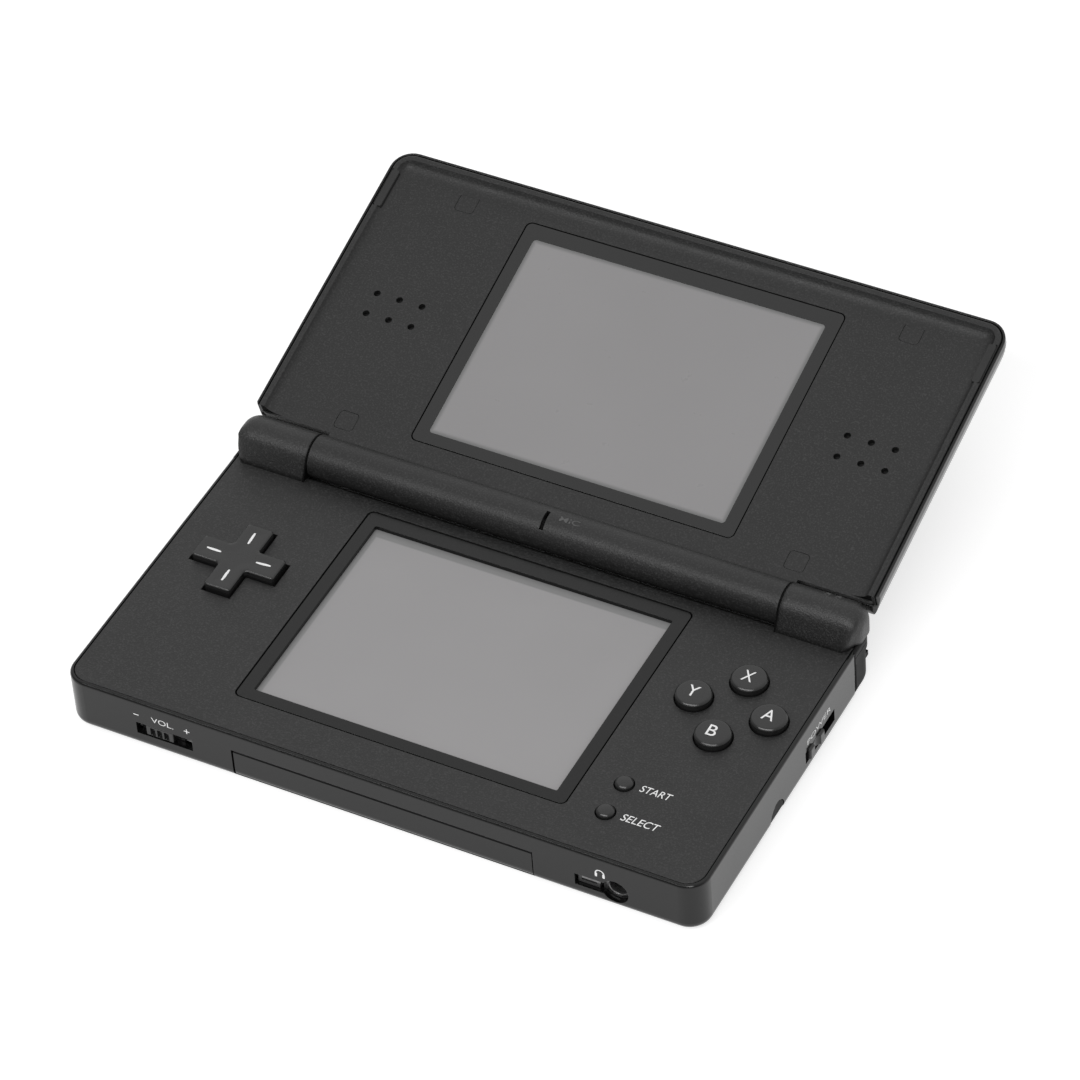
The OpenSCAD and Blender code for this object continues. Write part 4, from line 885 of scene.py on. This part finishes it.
def make_headphone_sign(front):
    """Arc with a cup at each end, printed above the jack."""
    middle, band = Vector((46.25, 7.95)), 0.85
    shape = Shape()
    turns = [math.pi * k / 16 for k in range(17)]
    arc = [(math.cos(t), math.sin(t)) for t in turns]
    loop = [middle + Vector(p) * (band + 0.12) for p in arc]
    loop += [middle + Vector(p) * (band - 0.12) for p in reversed(arc)]
    shape.loft([[(p.x, p.y, z) for p in loop] for z in (-0.01, 0.012)])
    for side in (-1, 1):
        cup = box_corners((middle.x + side * (band - 0.08), middle.y - 0.45), (0.24, 0.5))
        shape.loft([outline(cup, 0.15, z=z, steps=3) for z in (-0.01, 0.014)])
    shape.make("headphone_sign", "switch_white", "base", (), WHITE_PAINT, front)


make_pad()
make_buttons()
make_volume_slider()
make_power_slider()
make_screens()
make_lip()
make_bumpers()
make_knuckles()
make_corner_bands()
make_lenses()
make_ports()
make_lettering()


# floor, light and background

def make_floor():
    """Floor that looks white, keeps the shadow, lights the object a little, and is clear from below."""
    looks, lights = 0.62, 0.3
    bpy.ops.mesh.primitive_plane_add(size=12, location=(0, 0, -0.02 * MM))
    floor = bpy.context.object
    floor.name = "floor"
    n = Nodes("floor")
    path = n.add("ShaderNodeLightPath")
    seen = n.math("MAXIMUM", path.outputs["Is Camera Ray"], path.outputs["Is Glossy Ray"])
    seen = n.math("MAXIMUM", seen, path.outputs["Is Transmission Ray"])
    n.shader.inputs["Base Color"].default_value = (0.6, 0.6, 0.6, 1)
    n.shader.inputs["Roughness"].default_value = 1
    n.shader.inputs["Specular IOR Level"].default_value = 0
    n.shader.inputs["Emission Color"].default_value = (1, 1, 1, 1)
    n.feed(n.shader, "Emission Strength", n.spread(seen, lights, looks, 0, 1))
    clear = n.add("ShaderNodeBsdfTransparent")
    facing = n.add("ShaderNodeNewGeometry").outputs["Backfacing"]
    both = n.add("ShaderNodeMixShader", {0: facing, 1: n.shader.outputs[0], 2: clear.outputs[0]})
    n.feed(n.out, "Surface", both.outputs[0])
    floor.data.materials.append(n.material)


def make_world():
    """White to the camera; the object sees a pale studio that is brightest above and behind it."""
    brightest = Vector((0.03, 0.62, 0.78))
    world = bpy.data.worlds.new("studio")
    bpy.context.scene.world = world
    world.use_nodes = True
    tree = world.node_tree
    back = tree.nodes["Background"]
    back.inputs["Color"].default_value = (1, 1, 1, 1)

    def ramp(source, low, high, from_low=0.0, from_high=1.0):
        node = tree.nodes.new("ShaderNodeMapRange")
        tree.links.new(source, node.inputs[0])
        for key, value in zip((1, 2, 3, 4), (from_low, from_high, low, high)):
            if isinstance(value, bpy.types.NodeSocket):
                tree.links.new(value, node.inputs[key])
            else:
                node.inputs[key].default_value = value
        return node.outputs[0]

    path = tree.nodes.new("ShaderNodeLightPath")
    where = tree.nodes.new("ShaderNodeTexCoord")
    toward = tree.nodes.new("ShaderNodeVectorMath")
    toward.operation = "DOT_PRODUCT"
    tree.links.new(where.outputs["Generated"], toward.inputs[0])
    toward.inputs[1].default_value = brightest.normalized()
    pale = ramp(toward.outputs["Value"], 0.28, 1.12, -0.1, 0.8)
    soft = ramp(toward.outputs["Value"], 0.34, 0.65, -0.2, 0.9)
    light = ramp(path.outputs["Is Glossy Ray"], soft, pale)
    light = ramp(path.outputs["Is Transmission Ray"], light, 1.0)
    tree.links.new(ramp(path.outputs["Is Camera Ray"], light, 1.0), back.inputs["Strength"])


def soft_box(name, place, width, height, power):
    """Rectangular lamp at a place, in metres, that faces the object; power is in watts."""
    data = bpy.data.lights.new(name, "AREA")
    data.shape = "RECTANGLE"
    data.size, data.size_y = width, height
    data.energy = power
    lamp = bpy.data.objects.new(name, data)
    bpy.context.scene.collection.objects.link(lamp)
    lamp.location = place
    lamp.rotation_mode = "QUATERNION"
    lamp.rotation_quaternion = (-Vector(place)).to_track_quat("-Z", "Y")


make_floor()
make_world()
soft_box("key", (0.05, -0.99, 1.18), width=1.9, height=0.36, power=15)
